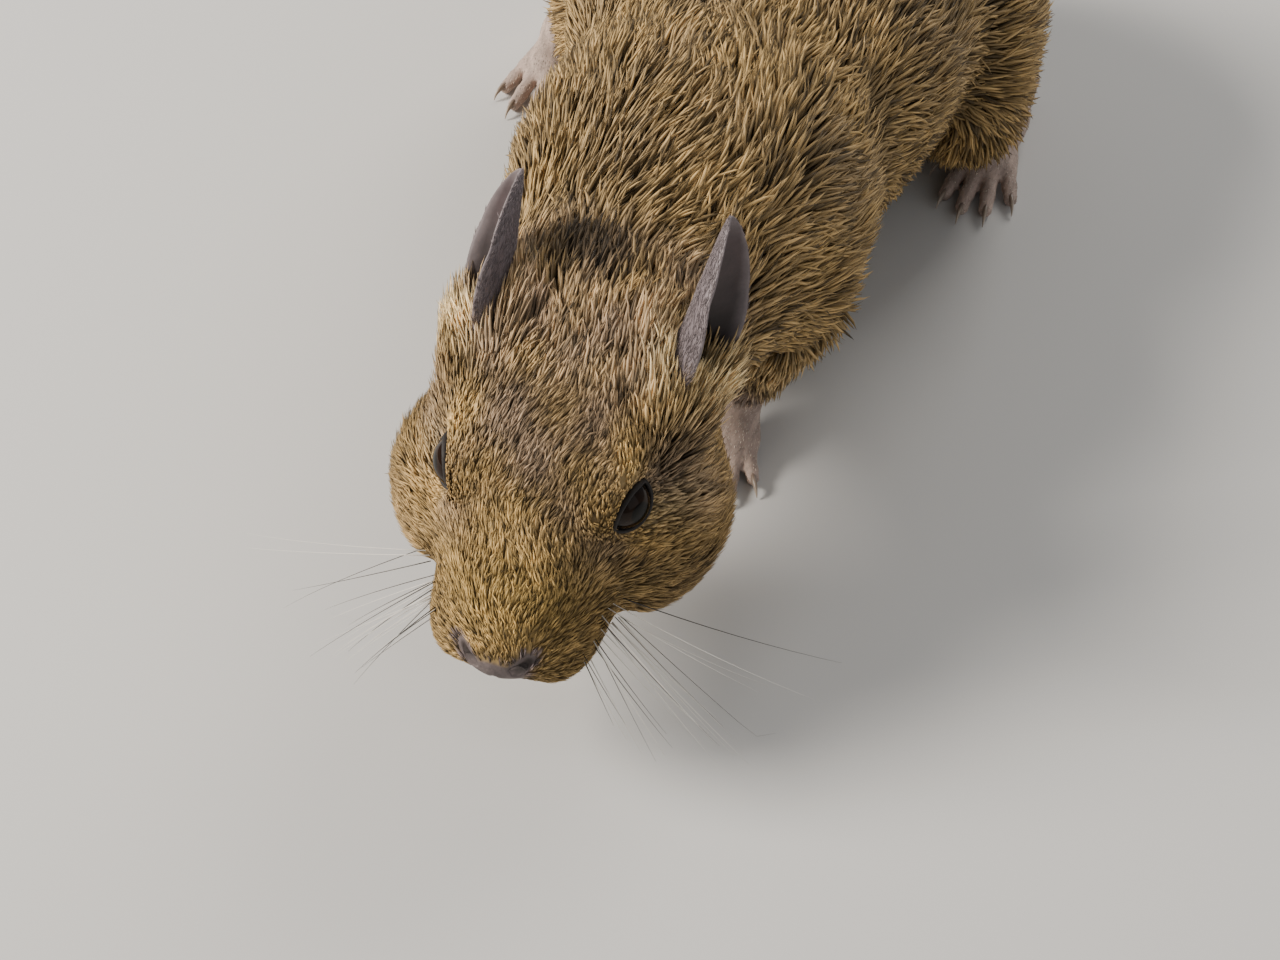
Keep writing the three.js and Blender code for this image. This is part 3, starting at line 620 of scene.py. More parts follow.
def drift(p, scale, seed):
    # smooth noise from a few waves, between 0 and 1
    rng = np.random.default_rng(seed)
    total = np.zeros(len(p))
    for _ in range(6):
        wave = unit(rng.normal(size=3)) * rng.uniform(0.6, 1.5) * 2 * np.pi / scale
        total += np.sin(p @ wave + rng.uniform(0, 2 * np.pi))
    return np.clip(0.5 + total / 6, 0, 1)


def mix(base, other, weight):
    return base + (other - base) * weight[:, None]


def paint(base, name, weight):
    return mix(base, coatColours[name], weight)


def spot(p, at, half):
    return np.exp(-(((p - np.array(at)) / np.array(half)) ** 2).sum(1))


def shareOut(p, at, half):
    # 0 at the middle of an ellipsoid, 1 on its surface
    return np.linalg.norm((p - np.array(at)) / np.array(half), axis=1)


def paired(head):
    return np.concatenate([np.abs(head[:, :1]), head[:, 1:]], 1)


facePatches = [  # on both sides of the face: colour, place, half size, share
    ("brow", (10.2, -9.2, 8.8), (2.5, 3.2, 2.7), 1),
    ("ochre", (9.4, -13.8, 6), (2, 2.4, 2.4), 0.6),
    ("ochre", (12.5, -14.4, 0.4), (2.8, 3, 2.2), 1),
    ("cream", (12.2, -9, -0.5), (2.6, 3.6, 2.2), 0.4),
    ("cream", (11.3, 0.9, 8.8), (2.2, 3.2, 3.2), 1),
    ("cream", (14.9, 1.2, 5), (2.4, 3.2, 3.2), 0.95),
]
# painted shadow on the nape behind the crown, where the head shades the neck
napeShadow = {"at": (-0.6, 10.4, 14), "half": (7, 3.9, 5), "fade": (0.6, 1.3), "share": 0.9}  # behind the crown


def markings(p):
    head = toHead(p)
    across = np.abs(straightened(p)[:, 0])
    colour = paint(coatColours["back"], "backGrey", 0.55 * drift(p, 16, 11))
    colour = paint(colour, "flank", 1 - ramp(p[:, 2], 20, 40))
    colour = paint(colour, "belly", (1 - ramp(p[:, 2], 9, 20)) * (1 - ramp(across, 16, 30)))

    face = paint(coatColours["forehead"], "back", drift(p, 9, 12))
    face = paint(face, "muzzle", 1 - ramp(head[:, 1], -26, -14))
    face = paint(face, "flank", (1 - ramp(head[:, 2], -4, 3)) * 0.8)
    for name, at, half, share in facePatches:
        face = paint(face, name, spot(paired(head), at, half) * share)
    face = paint(face, "belly", 1 - ramp(head[:, 2], -15, -9.5))
    fromLips = lineAway(head, lipLine)
    face = paint(face, "lip", (1 - ramp(fromLips, 0.9, 3.4)) * 0.85)
    # painted shade along the mouth's groove
    face = paint(face, "creaseShade", 1 - ramp(fromLips, 0.22, 0.45))
    face = paint(face, "nose", 1 - ramp(shareOut(head, nose["bareAt"], nose["bareHalf"]), 0.95, 1.2))
    fromHole = nostrilAway(head)
    face = paint(face, "nose", 1 - ramp(fromHole, 1.0, 1.6))
    # painted shade down the nostrils
    face = paint(face, "creaseShade", 1 - ramp(fromHole, 0.6, 0.95))
    colour = mix(colour, face, 1 - ramp(head[:, 1], 8, 18))

    # painted shadow on the nape behind the crown, where the head shades the neck
    fromNapeShadow = shareOut(head, napeShadow["at"], napeShadow["half"])
    colour = paint(colour, "napeShadow", (1 - ramp(fromNapeShadow, *napeShadow["fade"])) * napeShadow["share"])
    colour = paint(colour, "foot", 1 - ramp(feetField(p), 0.3, 2.4))
    tailColour = paint(coatColours["tailTop"], "tailUnder", 1 - ramp(p[:, 2], 1.0, 3.0))
    colour = mix(colour, tailColour, ramp(p[:, 1], 68, 92))
    tipFrom = tail["floorFrom"] + tail["length"] - tail["brush"]
    return paint(colour, "tailTip", ramp(p[:, 1], tipFrom - 6, tipFrom + 4))


# Shader node helpers

def addNode(tree, kind, links=None, **settings):
    node = tree.nodes.new(kind)
    for key, value in settings.items():
        setattr(node, key, value)
    for key, value in (links or {}).items():
        if isinstance(value, bpy.types.NodeSocket):
            tree.links.new(value, node.inputs[key])
        else:
            node.inputs[key].default_value = value
    return node


def newGroup(name, inputs, outputs):
    tree = bpy.data.node_groups.new(name, "ShaderNodeTree")
    for socket, kind, value in inputs:
        made = tree.interface.new_socket(socket, in_out="INPUT", socket_type=kind)
        made.default_value = value
    for socket, kind in outputs:
        tree.interface.new_socket(socket, in_out="OUTPUT", socket_type=kind)
    return tree, tree.nodes.new("NodeGroupInput"), tree.nodes.new("NodeGroupOutput")


def newMaterial(name, **principled):
    material = bpy.data.materials.new(name)
    material.use_nodes = True
    shader = material.node_tree.nodes["Principled BSDF"]
    for key, value in principled.items():
        shader.inputs[key.replace("_", " ")].default_value = value
    return material, material.node_tree, shader


def attributeNode(tree, name):
    return addNode(tree, "ShaderNodeAttribute", attribute_name=name, attribute_type="GEOMETRY")


def mathNode(tree, operation, a, b=0.0):
    return addNode(tree, "ShaderNodeMath", {0: a, 1: b}, operation=operation).outputs[0]


def mapRange(tree, value, source, target, shape="LINEAR"):
    return addNode(tree, "ShaderNodeMapRange", {
        "Value": value,
        "From Min": source[0], "From Max": source[1],
        "To Min": target[0], "To Max": target[1],
    }, interpolation_type=shape).outputs[0]


def scaled(tree, colour, scale):
    return addNode(tree, "ShaderNodeVectorMath", {0: colour, "Scale": scale}, operation="SCALE").outputs[0]


def colourRamp(tree, factor, stops, shape="LINEAR"):
    bands = addNode(tree, "ShaderNodeValToRGB", {"Fac": factor})
    bands.color_ramp.interpolation = shape
    elements = bands.color_ramp.elements
    while len(elements) < len(stops):
        elements.new(0.5)
    for element, (at, colour) in zip(elements, stops):
        element.position = at
        element.color = (*colour, 1)
    return bands.outputs["Color"]


def tickedHairGroup():
    # dark root, lighter band below the tip, dark tip on some hairs
    tree, given, out = newGroup(
        "tickedHair",
        [
            ("Colour", "NodeSocketColor", (0.5, 0.4, 0.3, 1)),
            ("Along", "NodeSocketFloat", 0.5),
            ("Tone", "NodeSocketFloat", 0.5),
            ("Root", "NodeSocketFloat", 0.35),
            ("Band", "NodeSocketFloat", 1.5),
            ("Tip", "NodeSocketFloat", 0.4),
        ],
        [("Colour", "NodeSocketColor")],
    )
    along, tone = given.outputs["Along"], given.outputs["Tone"]
    rise = mapRange(tree, along, (0.0, 0.55), (given.outputs["Root"], 1.0))
    band = mapRange(tree, along, (0.45, 0.72), (1.0, given.outputs["Band"]), "SMOOTHSTEP")
    tip = mapRange(tree, along, (0.74, 0.95), (1.0, given.outputs["Tip"]), "SMOOTHSTEP")
    darkTip = mathNode(tree, "LESS_THAN", tone, 0.5)
    tip = addNode(tree, "ShaderNodeMix", {"Factor": darkTip, 2: 1.0, 3: tip}).outputs[0]
    chance = mathNode(tree, "FRACT", mathNode(tree, "MULTIPLY", tone, 7.31))
    spread = mapRange(tree, chance, (0.0, 1.0), (0.62, 1.32))
    body, end = mathNode(tree, "MULTIPLY", rise, band), mathNode(tree, "MULTIPLY", tip, spread)
    colour = scaled(tree, given.outputs["Colour"], mathNode(tree, "MULTIPLY", body, end))
    tree.links.new(colour, out.inputs["Colour"])
    return tree


def shortFurGroup():
    # short hair lying flat: fine streaks in shade and relief
    tree, given, out = newGroup(
        "shortFur",
        [
            ("Colour", "NodeSocketColor", (0.5, 0.4, 0.3, 1)),
            ("Scale", "NodeSocketFloat", 900.0),
            ("Contrast", "NodeSocketFloat", 0.5),
        ],
        [("Colour", "NodeSocketColor"), ("Height", "NodeSocketFloat")],
    )
    where = addNode(tree, "ShaderNodeTexCoord").outputs["Object"]
    streaks = addNode(tree, "ShaderNodeMapping", {"Vector": where, "Scale": (1.0, 0.25, 1.0)})
    grain = addNode(tree, "ShaderNodeTexNoise", {
        "Vector": streaks.outputs[0], "Scale": given.outputs["Scale"], "Detail": 4.0, "Roughness": 0.6,
    }).outputs["Fac"]
    dark = mathNode(tree, "SUBTRACT", 1.0, given.outputs["Contrast"])
    pale = mathNode(tree, "ADD", 1.0, given.outputs["Contrast"])
    shade = mapRange(tree, grain, (0.3, 0.7), (dark, pale))
    tree.links.new(scaled(tree, given.outputs["Colour"], shade), out.inputs["Colour"])
    tree.links.new(grain, out.inputs["Height"])
    return tree


def groupNode(tree, group, links):
    return addNode(tree, "ShaderNodeGroup", links, node_tree=group)


def coatMaterial(name, root, band=1.5, tip=0.4, roughness=0.6):
    material, tree, shader = newMaterial(name, Roughness=roughness, Specular_IOR_Level=0.3)
    hair = groupNode(tree, ticked, {
        "Colour": attributeNode(tree, "markings").outputs["Color"],
        "Along": attributeNode(tree, "along").outputs["Fac"],
        "Tone": attributeNode(tree, "tone").outputs["Fac"],
        "Root": root, "Band": band, "Tip": tip,
    })
    tree.links.new(hair.outputs["Colour"], shader.inputs["Base Color"])
    return material


def skinMaterial(name, scale, contrast, bump, roughness):
    material, tree, shader = newMaterial(name, Roughness=roughness)
    short = groupNode(tree, shortFur, {
        "Colour": attributeNode(tree, "markings").outputs["Color"], "Scale": scale, "Contrast": contrast,
    })
    relief = addNode(tree, "ShaderNodeBump", {
        "Height": short.outputs["Height"], "Strength": bump, "Distance": 0.0003,
    })
    tree.links.new(short.outputs["Colour"], shader.inputs["Base Color"])
    tree.links.new(relief.outputs[0], shader.inputs["Normal"])
    return material


ticked = tickedHairGroup()
shortFur = shortFurGroup()
materials = {
    "coat": coatMaterial("degu coat", 0.43),
    "faceCoat": coatMaterial("degu face coat", 0.6, band=1.25, tip=0.6),
    "footCoat": coatMaterial("foot hair", 0.9, band=1.1, tip=0.95),
    "earCoat": coatMaterial("ear hair", 0.85, band=1.1, tip=0.9),
    "brush": coatMaterial("tail brush hair", 0.8, band=1.1, tip=0.8, roughness=0.45),
    "skin": skinMaterial("degu skin", 900.0, 0.35, 0.5, 0.7),
    "ear": skinMaterial("ear skin", 700.0, 0.18, 0.25, 0.6),
}


# The coat: tufts rooted on the skin, combed along the body

coat = {
    "seed": 4,
    "length": 6.8, "legLength": 3.6, "wristLength": 1.7, "footLength": 0.6, "tailLength": 2.0,
    "width": 0.52, "legWidth": 0.42, "wristWidth": 0.24, "footWidth": 0.11, "tailWidth": 0.34,
    "density": 2.35, "legDensity": 3.6, "wristDensity": 5.5, "footDensity": 5.0, "tailDensity": 4.2,
    "faceStations": (-33, -28, -22, -10, 4, 14),  # along the head, from the nose back
    "faceLength": (1.2, 1.8, 2.4, 3.1, 4.4, 6.2),
    "faceWidth": (0.23, 0.28, 0.31, 0.36, 0.45, 0.52),
    "faceDensity": (12, 11.5, 10.5, 9.0, 6.2, 3.6),
    "rings": (0, 0.42, 0.78), "shortRings": (0, 0.5),
    "lengthSpread": (0.72, 1.15), "widthSpread": (0.7, 1.3), "waves": 0.9, "stray": 0.15,
    "leastDepth": 0.4, "footDepth": 0.12, "liftSines": (0.06, 0.5),
    "clump": 7, "gather": 0.45, "gatherSpread": (0.6, 1.3),  # tufts to a lock, how far they lean together
    "curl": 0.13, "mostLean": 0.45,  # sideways bend, and the most of a tuft's length that it may lean
    "shadeSpread": (0.16, 0.1),  # of locks, and of tufts in a lock
    "dark": 0.15, "darkShade": 0.34,  # share of nearly black guard hairs, and their shade
    "eyeGap": 3.9, "eyeLength": 0.45, "eyeSlope": 0.5,  # no hair reaches over an eye
    "earLength": 1.6, "earLift": 0.5,  # added round the ears
    "floorGap": 0.04,  # nothing pokes through the floor
    "perPiece": 190000,  # triangles
    "patch": 0.003,  # a tuft's patch of the flat layout
}
cheekFluff = {"at": (18.5, -9, -6), "half": (5, 6.5, 5), "length": 0.8, "lift": 0.22}
lie = {
    "nose": (0, -34.0, -6.0), "rise": 0.1, "flankDrop": -0.35, "eyeOut": (4.2, 9), "eyePart": 0.45,
    "foreleg": (-0.1, -0.75, -0.65), "forelegShare": 0.9,
    "hindleg": (0.0, 0.3, -1.0), "foot": (0.0, -1.0, -0.2),
}


def combed(p, normal):
    # the lie of the coat: back from the nose, along the trunk, down the limbs
    head = toHead(p)
    flow = np.zeros_like(p)
    turns = np.clip((p[:, 1] - swing["from"]) / swing["run"], 0, swing["most"])
    flow[:, 0] = 2 * swing["reach"] * turns / swing["run"]
    flow[:, 1] = 1
    flow[:, 2] = lie["flankDrop"] * (1 - ramp(p[:, 2], 18, 44))
    fromNose = unit(head - np.array(lie["nose"]))
    fromNose[:, 2] += lie["rise"]
    for side in (1, -1):  # the lie parts round each eye
        outward = head - eyeCentres[side]
        away = np.linalg.norm(outward, axis=1)
        outward /= away[:, None]
        near = 1 - ramp(away, *lie["eyeOut"])
        inward = np.minimum((fromNose * outward).sum(1), 0)
        fromNose += outward * (near * (lie["eyePart"] - inward))[:, None]
    flow = mix(flow, fromNose @ headTurn.T, 1 - ramp(p[:, 1], -66, -50))
    low = (1 - ramp(p[:, 2], 9, 22)) * (p[:, 1] > -48)
    foreleg = low * (1 - ramp(np.abs(p[:, 1] + 27), 10, 16))
    flow = mix(flow, np.array(lie["foreleg"]), foreleg * lie["forelegShare"])
    hindleg = low * ramp(np.abs(straightened(p)[:, 0]), 22, 28) * ramp(p[:, 1], 4, 12)
    flow = mix(flow, np.array(lie["hindleg"]), hindleg)
    flow = mix(flow, np.array(lie["foot"]), 1 - ramp(feetField(p), 0.4, 1.6))
    flow -= normal * (flow * normal).sum(1, keepdims=True)
    return unit(flow)


atlas = {  # where each part starts and how long it is, in mm, and its corner and size on the flat square
    "trunk": {"from": -106, "long": 216, "corner": (0.01, 0.01), "size": (0.98, 0.68)},
    "foot": {"from": -36, "long": 50, "corner": (0.01, 0.72), "size": (0.22, 0.12), "next": 0.24},
    "tail": {"from": 78, "long": 100, "corner": (0.01, 0.87), "size": (0.98, 0.12)},
    "axisAt": (-100, -68, -30, 40, 70), "axisHeights": (22, 34, 36, 32, 20), "lowAxis": 3,
}


def laidOut(part, back, across, up, nth=0):
    # one part rolled open: along it to the right, round it upward
    patch = atlas[part]
    along = (back - patch["from"]) / patch["long"]
    turn = np.arctan2(across, up) / (2 * np.pi) + 0.5
    corner = (patch["corner"][0] + nth * patch.get("next", 0), patch["corner"][1])
    return np.array(corner) + np.array(patch["size"]) * np.stack([along, turn], 1)


def unwrap(p):
    # the skin laid out flat: trunk and head round the body's axis, then a strip for each foot and the tail
    axis = np.interp(p[:, 1], atlas["axisAt"], atlas["axisHeights"])
    uv = laidOut("trunk", p[:, 1], straightened(p)[:, 0], axis - p[:, 2])
    for n, one in enumerate(footSet):
        local = (p - one["at"]) @ one["turn"]
        mine = (feetField(p) < 1.5) & (np.abs(local[:, 0]) < 12) & (np.abs(local[:, 1] + 8) < 26)
        strip = laidOut("foot", local[:, 1], local[:, 0], atlas["lowAxis"] - local[:, 2], n)
        uv = np.where(mine[:, None], strip, uv)
    across = p[:, 0] - np.interp(p[:, 1], tailLine[:, 1], tailLine[:, 0])
    strip = laidOut("tail", p[:, 1], across, atlas["lowAxis"] - p[:, 2])
    tailward = p[:, 1] > atlas["tail"]["from"]
    return np.clip(np.where(tailward[:, None], strip, uv), 0.004, 0.996)


def scatter(points, triangles, density, rng):
    a, b, c = (points[triangles[:, n]] for n in range(3))
    area = np.linalg.norm(np.cross(b - a, c - a), axis=1) / 2
    wanted = area * density((a + b + c) / 3)
    number = np.floor(wanted + rng.random(len(wanted))).astype(int)
    pick = np.repeat(np.arange(len(triangles)), number)
    s, t = rng.random((2, len(pick)))
    over = s + t > 1
    s[over], t[over] = 1 - s[over], 1 - t[over]
    return a[pick] + (b[pick] - a[pick]) * s[:, None] + (c[pick] - a[pick]) * t[:, None]


tuft = {
    "arch": 0.55,  # how much a tuft bends back to the skin
    "rootWide": 0.8, "widen": 0.5, "widestAt": 0.4, "taper": 1.05, "ridge": 0.7,
}


def tuftArrays(roots, normal, flow, length, width, lift, rings, sink=0.2, lean=0.0):
    # a flat tapered lock of three-sided rings, rising from the skin and bending back to it
    side = np.cross(normal, flow)
    corners = []
    for t in (*rings, 1.0):
        out = length * np.sin(lift) * ((1 + tuft["arch"]) * t - tuft["arch"] * t * t) - sink
        centre = roots + flow * (length * t)[:, None] + normal * out[:, None] + lean * t * t
        if t == 1:
            corners.append(centre)
            continue
        growing, past = tuft["rootWide"] + tuft["widen"] * t, t - tuft["widestAt"]
        half = (width * (growing if past < 0 else 1 - tuft["taper"] * past) / 2)[:, None]
        corners += [centre - side * half, centre + side * half, centre + normal * half * tuft["ridge"]]
    count = len(rings)
    faces = [(0, 2, 1)]
    for ring in range(count - 1):
        for i in range(3):
            j = (i + 1) % 3
            a, b, c, d = ring * 3 + i, ring * 3 + j, ring * 3 + 3 + j, ring * 3 + 3 + i
            faces += [(a, b, c), (a, c, d)]
    for i in range(3):
        faces.append((count * 3 - 3 + i, count * 3 - 3 + (i + 1) % 3, count * 3))
    along = np.repeat(rings, 3).tolist() + [1.0]
    across = [-0.5, 0.5, 0.0] * count + [0.0]
    return np.stack(corners, 1), np.array(faces), np.array(along), np.array(across)


def tuftObjects(name, arrays, colour, tone, rootUv, material):
    corners, template, along, across = arrays
    total, size = corners.shape[:2]
    parts = max(1, math.ceil(total / (coat["perPiece"] // len(template))))
    corners[..., 2] = np.maximum(corners[..., 2], coat["floorGap"])
    local = np.stack([across, along - 0.5], 1) * coat["patch"]
    pieces = []
    # every piece gets its share of the whole coat, so that none is a patch of its own
    for part in range(parts):
        pick = np.arange(part, total, parts)
        points = toFrame(corners[pick].reshape(-1, 3))
        faces = (template[None] + (np.arange(len(pick)) * size)[:, None, None]).reshape(-1, 3)
        mesh = bpy.data.meshes.new(f"{name}_{part + 1}")
        mesh.vertices.add(len(points))
        mesh.vertices.foreach_set("co", points.astype(np.float32).ravel())
        mesh.loops.add(faces.size)
        mesh.loops.foreach_set("vertex_index", faces.ravel().astype(np.int32))
        mesh.polygons.add(len(faces))
        mesh.polygons.foreach_set("loop_start", np.arange(0, faces.size, 3, dtype=np.int32))
        mesh.update(calc_edges=True)
        writeColour(mesh, "markings", np.repeat(colour[pick], size, 0))
        writeValue(mesh, "along", np.tile(along, len(pick)))
        writeValue(mesh, "tone", np.repeat(tone[pick], size))
        uv = (rootUv[pick][:, None] + local[None]).reshape(-1, 2)[faces.ravel()]
        layer = mesh.uv_layers.new(name="OFBake")
        layer.data.foreach_set("uv", uv.astype(np.float32).ravel())
        pieces.append(place(mesh, material))
    report(f"{name}: {total} tufts in {parts} pieces, {total * len(template)} triangles")
    return pieces


def bareMask(p):
    # no tufts on the eyes, nose, lips' edge and soles
    head = toHead(p)
    bare = eyeAway(head) < eye["radius"] + 0.35
    bare |= shareOut(head, nose["bareAt"], nose["bareHalf"]) < 1
    bare |= nostrilAway(head) < 0.95
    bare |= p[:, 2] < 0.7
    muzzle = head[:, 1] < -10
    bare[muzzle] |= lineAway(head[muzzle], lipLine) < 0.42
    return bare


def onFoot(p):
    return (1 - ramp(feetField(p), 0.3, 1.0)) * (p[:, 2] < 10)


def aboutEars(p):
    # where the coat stands up round the root of each ear
    head = toHead(p)
    near = np.zeros(len(p))
    for side in (1, -1):
        root = np.array(earPlan["roots"][side], float)
        axis = unit(np.array(earPlan["tips"][side]) - root)
        offset = head - root
        offset -= np.outer(offset @ axis, axis)
        away = np.linalg.norm(offset, axis=1)
        near = np.maximum(near, ramp(away, 2.5, 4) * (1 - ramp(away, 5.5, 8.5)))
    return near * (1 - ramp(head[:, 1], 4.5, 8)) * (head[:, 2] > 2)


def byRegion(p, what):
    # a coat setting blended over body, head, limbs, feet and tail
    head = 1 - ramp(p[:, 1], -62, -50)
    value = np.full(len(p), float(coat[what]))
    face = np.interp(toHead(p)[:, 1], coat["faceStations"], coat["face" + what.capitalize()])
    weights = (
        ("leg", (1 - ramp(p[:, 2], 10, 20)) * (1 - head)),
        ("wrist", 1 - ramp(feetField(p), 1.0, 4.5)),
        ("face", head),
        ("foot", onFoot(p)),
        ("tail", ramp(p[:, 1], 72, 90)),
    )
    for region, weight in weights:
        target = face if region == "face" else coat[region + what.capitalize()]
        value = value + (target - value) * weight
    return value


def skinDensity(p):
    return np.where(bareMask(p), 0, byRegion(p, "density"))


def swung(flow, normal, angle):
    return unit(flow * np.cos(angle)[:, None] + np.cross(normal, flow) * np.sin(angle)[:, None])


def gathered(roots, rng):
    # the middle tuft of the lock that each tuft belongs to
    middles = rng.choice(len(roots), len(roots) // coat["clump"], replace=False)
    tree = KDTree(len(middles))
    for n in middles:
        tree.insert(roots[n], int(n))
    tree.balance()
    return np.array([tree.find(root)[1] for root in roots])


def growCoat(points, triangles):
    rng = np.random.default_rng(coat["seed"])
    roots = scatter(points, triangles, skinDensity, rng)
    count = len(roots)
    _, slope = slopeOf(lambda p: skinField(p, detail=False), roots)
    normal = unit(slope)
    # low waves in the lie of the coat, and a little chance for each tuft
    sway = (drift(roots, 12, 21) - 0.5) * coat["waves"] + rng.normal(size=count) * coat["stray"]
    flow = swung(combed(roots, normal), normal, sway)
    fullLength = byRegion(roots, "length")
    length = fullLength * rng.uniform(*coat["lengthSpread"], count)
    width = byRegion(roots, "width") * rng.uniform(*coat["widthSpread"], count)
    eyeRoom = np.maximum(eyeAway(toHead(roots)) - coat["eyeGap"], 0)
    length = np.minimum(length, coat["eyeLength"] + coat["eyeSlope"] * eyeRoom)
    earward = aboutEars(roots)
    length += coat["earLength"] * earward
    foot = onFoot(roots)
    depth = np.maximum(coatDepth(roots), coat["leastDepth"])
    depth += (coat["footDepth"] - depth) * foot
    lift = np.arcsin(np.clip(depth * rng.uniform(0.5, 1.0, count) / length, *coat["liftSines"]))
    lift += coat["earLift"] * earward
    cheek = spot(paired(toHead(roots)), cheekFluff["at"], cheekFluff["half"])
    length += cheekFluff["length"] * cheek
    lift += cheekFluff["lift"] * cheek
    middle = gathered(roots, rng)
    tips = roots + flow * length[:, None]
    lean = (tips[middle] - tips) * (coat["gather"] * rng.uniform(*coat["gatherSpread"], count))[:, None]
    lean += np.cross(normal, flow) * (length * rng.normal(size=count) * coat["curl"])[:, None]
    lean -= normal * (lean * normal).sum(1, keepdims=True)
    reach = np.maximum(np.linalg.norm(lean, axis=1), 1e-6)
    lean *= (np.minimum(1, coat["mostLean"] * length / reach) * (1 - foot))[:, None]
    lockShade, tuftShade = coat["shadeSpread"]
    shade = rng.normal(1, lockShade, count)[middle] * rng.normal(1, tuftShade, count)
    shade[(rng.random(count) < coat["dark"]) & (foot < 0.5)] *= coat["darkShade"]
    colour = markings(roots) * np.clip(shade, 0.2, 1.5)[:, None]
    colour = mix(colour, coatColours["footHair"] * shade[:, None], foot)
    tone = rng.random(count)
    uv = unwrap(roots)
    long = (fullLength > coat["legLength"]) & (foot < 0.5)
    sink = 0.06 + 0.14 * ramp(depth, 0.2, 1.2)
    for name, pick, rings, material in (
        ("coat_body", long, coat["rings"], materials["coat"]),
        ("coat_short", ~long & (foot < 0.5), coat["shortRings"], materials["faceCoat"]),
        ("coat_feet", foot >= 0.5, coat["shortRings"], materials["footCoat"]),
    ):
        arrays = tuftArrays(
            roots[pick], normal[pick], flow[pick], length[pick], width[pick], lift[pick], rings,
            sink=sink[pick], lean=lean[pick],
        )
        tuftObjects(name, arrays, colour[pick], tone[pick], uv[pick], material)


skinShade = {"coated": 0.5, "muzzle": 0.32, "bare": 0.85}


def makeSkin():
    mesh = buildSkin()
    planned = pointsOf(mesh)
    mesh.calc_loop_triangles()
    triangles = np.empty(len(mesh.loop_triangles) * 3, np.int32)
    mesh.loop_triangles.foreach_get("vertices", triangles)
    # the skin is dark under the coat, paler on the muzzle and where it is nearly bare
    muzzle = 1 - ramp(toHead(planned)[:, 1], -34, -20)
    bare = np.maximum(1 - ramp(feetField(planned), 0.3, 1.0), ramp(planned[:, 1], 76, 84))
    shade = np.maximum(skinShade["coated"] + skinShade["muzzle"] * muzzle, skinShade["bare"] * bare)
    writeColour(mesh, "markings", markings(planned) * shade[:, None])
    setPoints(mesh, toFrame(planned))
    skin = place(mesh, materials["skin"])
    parts = ("foreleg", "forefoot", "hindleg", "hindfoot")
    limbs = [f"{part}_{side}" for part in parts for side in ("left", "right")]
    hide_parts("torso", "neck", "head", "tail_base", "tail_middle", *limbs)
    return planned, triangles.reshape(-1, 3)


# Eyes, and the small swept pieces: lids, claws, whiskers

def sweptTube(path, radii, sides, closed=False, up=(0.31, 0.12, 0.94)):
    path = np.array(path, float)
    tangent = unit(np.roll(path, -1, 0) - np.roll(path, 1, 0) if closed else np.gradient(path, axis=0))
    side = unit(np.cross(np.array(up, float), tangent))
    over = np.cross(tangent, side)
    angle = np.arange(sides) / sides * 2 * np.pi
    radii = np.asarray(radii, float)
    wide, thick = (radii, radii) if radii.ndim == 1 else radii.T
    ring = side[:, None] * (wide[:, None] * np.cos(angle))[..., None]
    ring = ring + over[:, None] * (thick[:, None] * np.sin(angle))[..., None]
    points = (path[:, None] + ring).reshape(-1, 3)
    count = len(path)
    faces = []
    for r in range(count if closed else count - 1):
        here, ahead = r * sides, (r + 1) % count * sides
        for s in range(sides):
            beside = (s + 1) % sides
            faces.append((here + s, here + beside, ahead + beside, ahead + s))
    if not closed:
        faces.append(tuple(range(sides))[::-1])
        faces.append(tuple((count - 1) * sides + s for s in range(sides)))
    return points, faces


def joinArrays(pieces):
    points, faces, owner = [], [], []
    total = 0
    for n, (p, f) in enumerate(pieces):
        points.append(p)
        faces += [tuple(i + total for i in face) for face in f]
        owner.append(np.full(len(p), n))
        total += len(p)
    return np.concatenate(points), faces, np.concatenate(owner)


eyeLook = {
    "lidLength": 5.6, "lidHeight": 4.7, "lidThick": 0.36, "lidWide": 0.26, "lidOut": 0.12, "lidStations": 40,
    "tilt": 18, "bulge": 0.22, "rimColour": linear(0x1C1613),
    "irisStops": [  # turn from the middle in radians, colour
        (0.0, (0.0015, 0.0012, 0.001)), (0.36, (0.0015, 0.0012, 0.001)), (0.42, (0.016, 0.007, 0.003)),
        (0.72, (0.011, 0.005, 0.0024)), (0.8, (0.003, 0.002, 0.0015)),
    ],
}


def eyeMaterial():
    material, tree, shader = newMaterial("wet dark eye", Roughness=0.05, IOR=1.33, Specular_IOR_Level=0.32)
    noise = addNode(tree, "ShaderNodeTexNoise", {"Scale": 1600.0, "Detail": 3.0}).outputs["Fac"]
    ragged = mathNode(tree, "MULTIPLY", mathNode(tree, "SUBTRACT", noise, 0.5), 0.08)
    edge = mathNode(tree, "ADD", attributeNode(tree, "fromAxis").outputs["Fac"], ragged)
    tree.links.new(colourRamp(tree, edge, eyeLook["irisStops"]), shader.inputs["Base Color"])
    return material


def eyeMiddle(side):
    # a little further out than the plan has it, to stand clear of the coat
    return eyeCentres[side] + eyeLooks[side] * eye["clear"]


def makeEyes():
    material = eyeMaterial()
    for side, word in ((1, "left"), (-1, "right")):
        look = eyeLooks[side]
        form = bmesh.new()
        bmesh.ops.create_uvsphere(form, u_segments=48, v_segments=32, radius=eye["radius"])
        points = np.array([v.co for v in form.verts])
        facing = unit(points) @ look
        bulge = eyeLook["bulge"] * ramp(facing, 0.62, 0.95)  # the clear front stands a little proud
        points = points + look * bulge[:, None]
        mesh = bpy.data.meshes.new(f"eye_{word}_ball")
        form.to_mesh(mesh)
        form.free()
        writeValue(mesh, "fromAxis", np.arccos(np.clip(facing, -1, 1)))
        setPoints(mesh, toFrame(fromHead(points + eyeMiddle(side))))
        ball = place(mesh, material)
        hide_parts(f"eye_{word}")


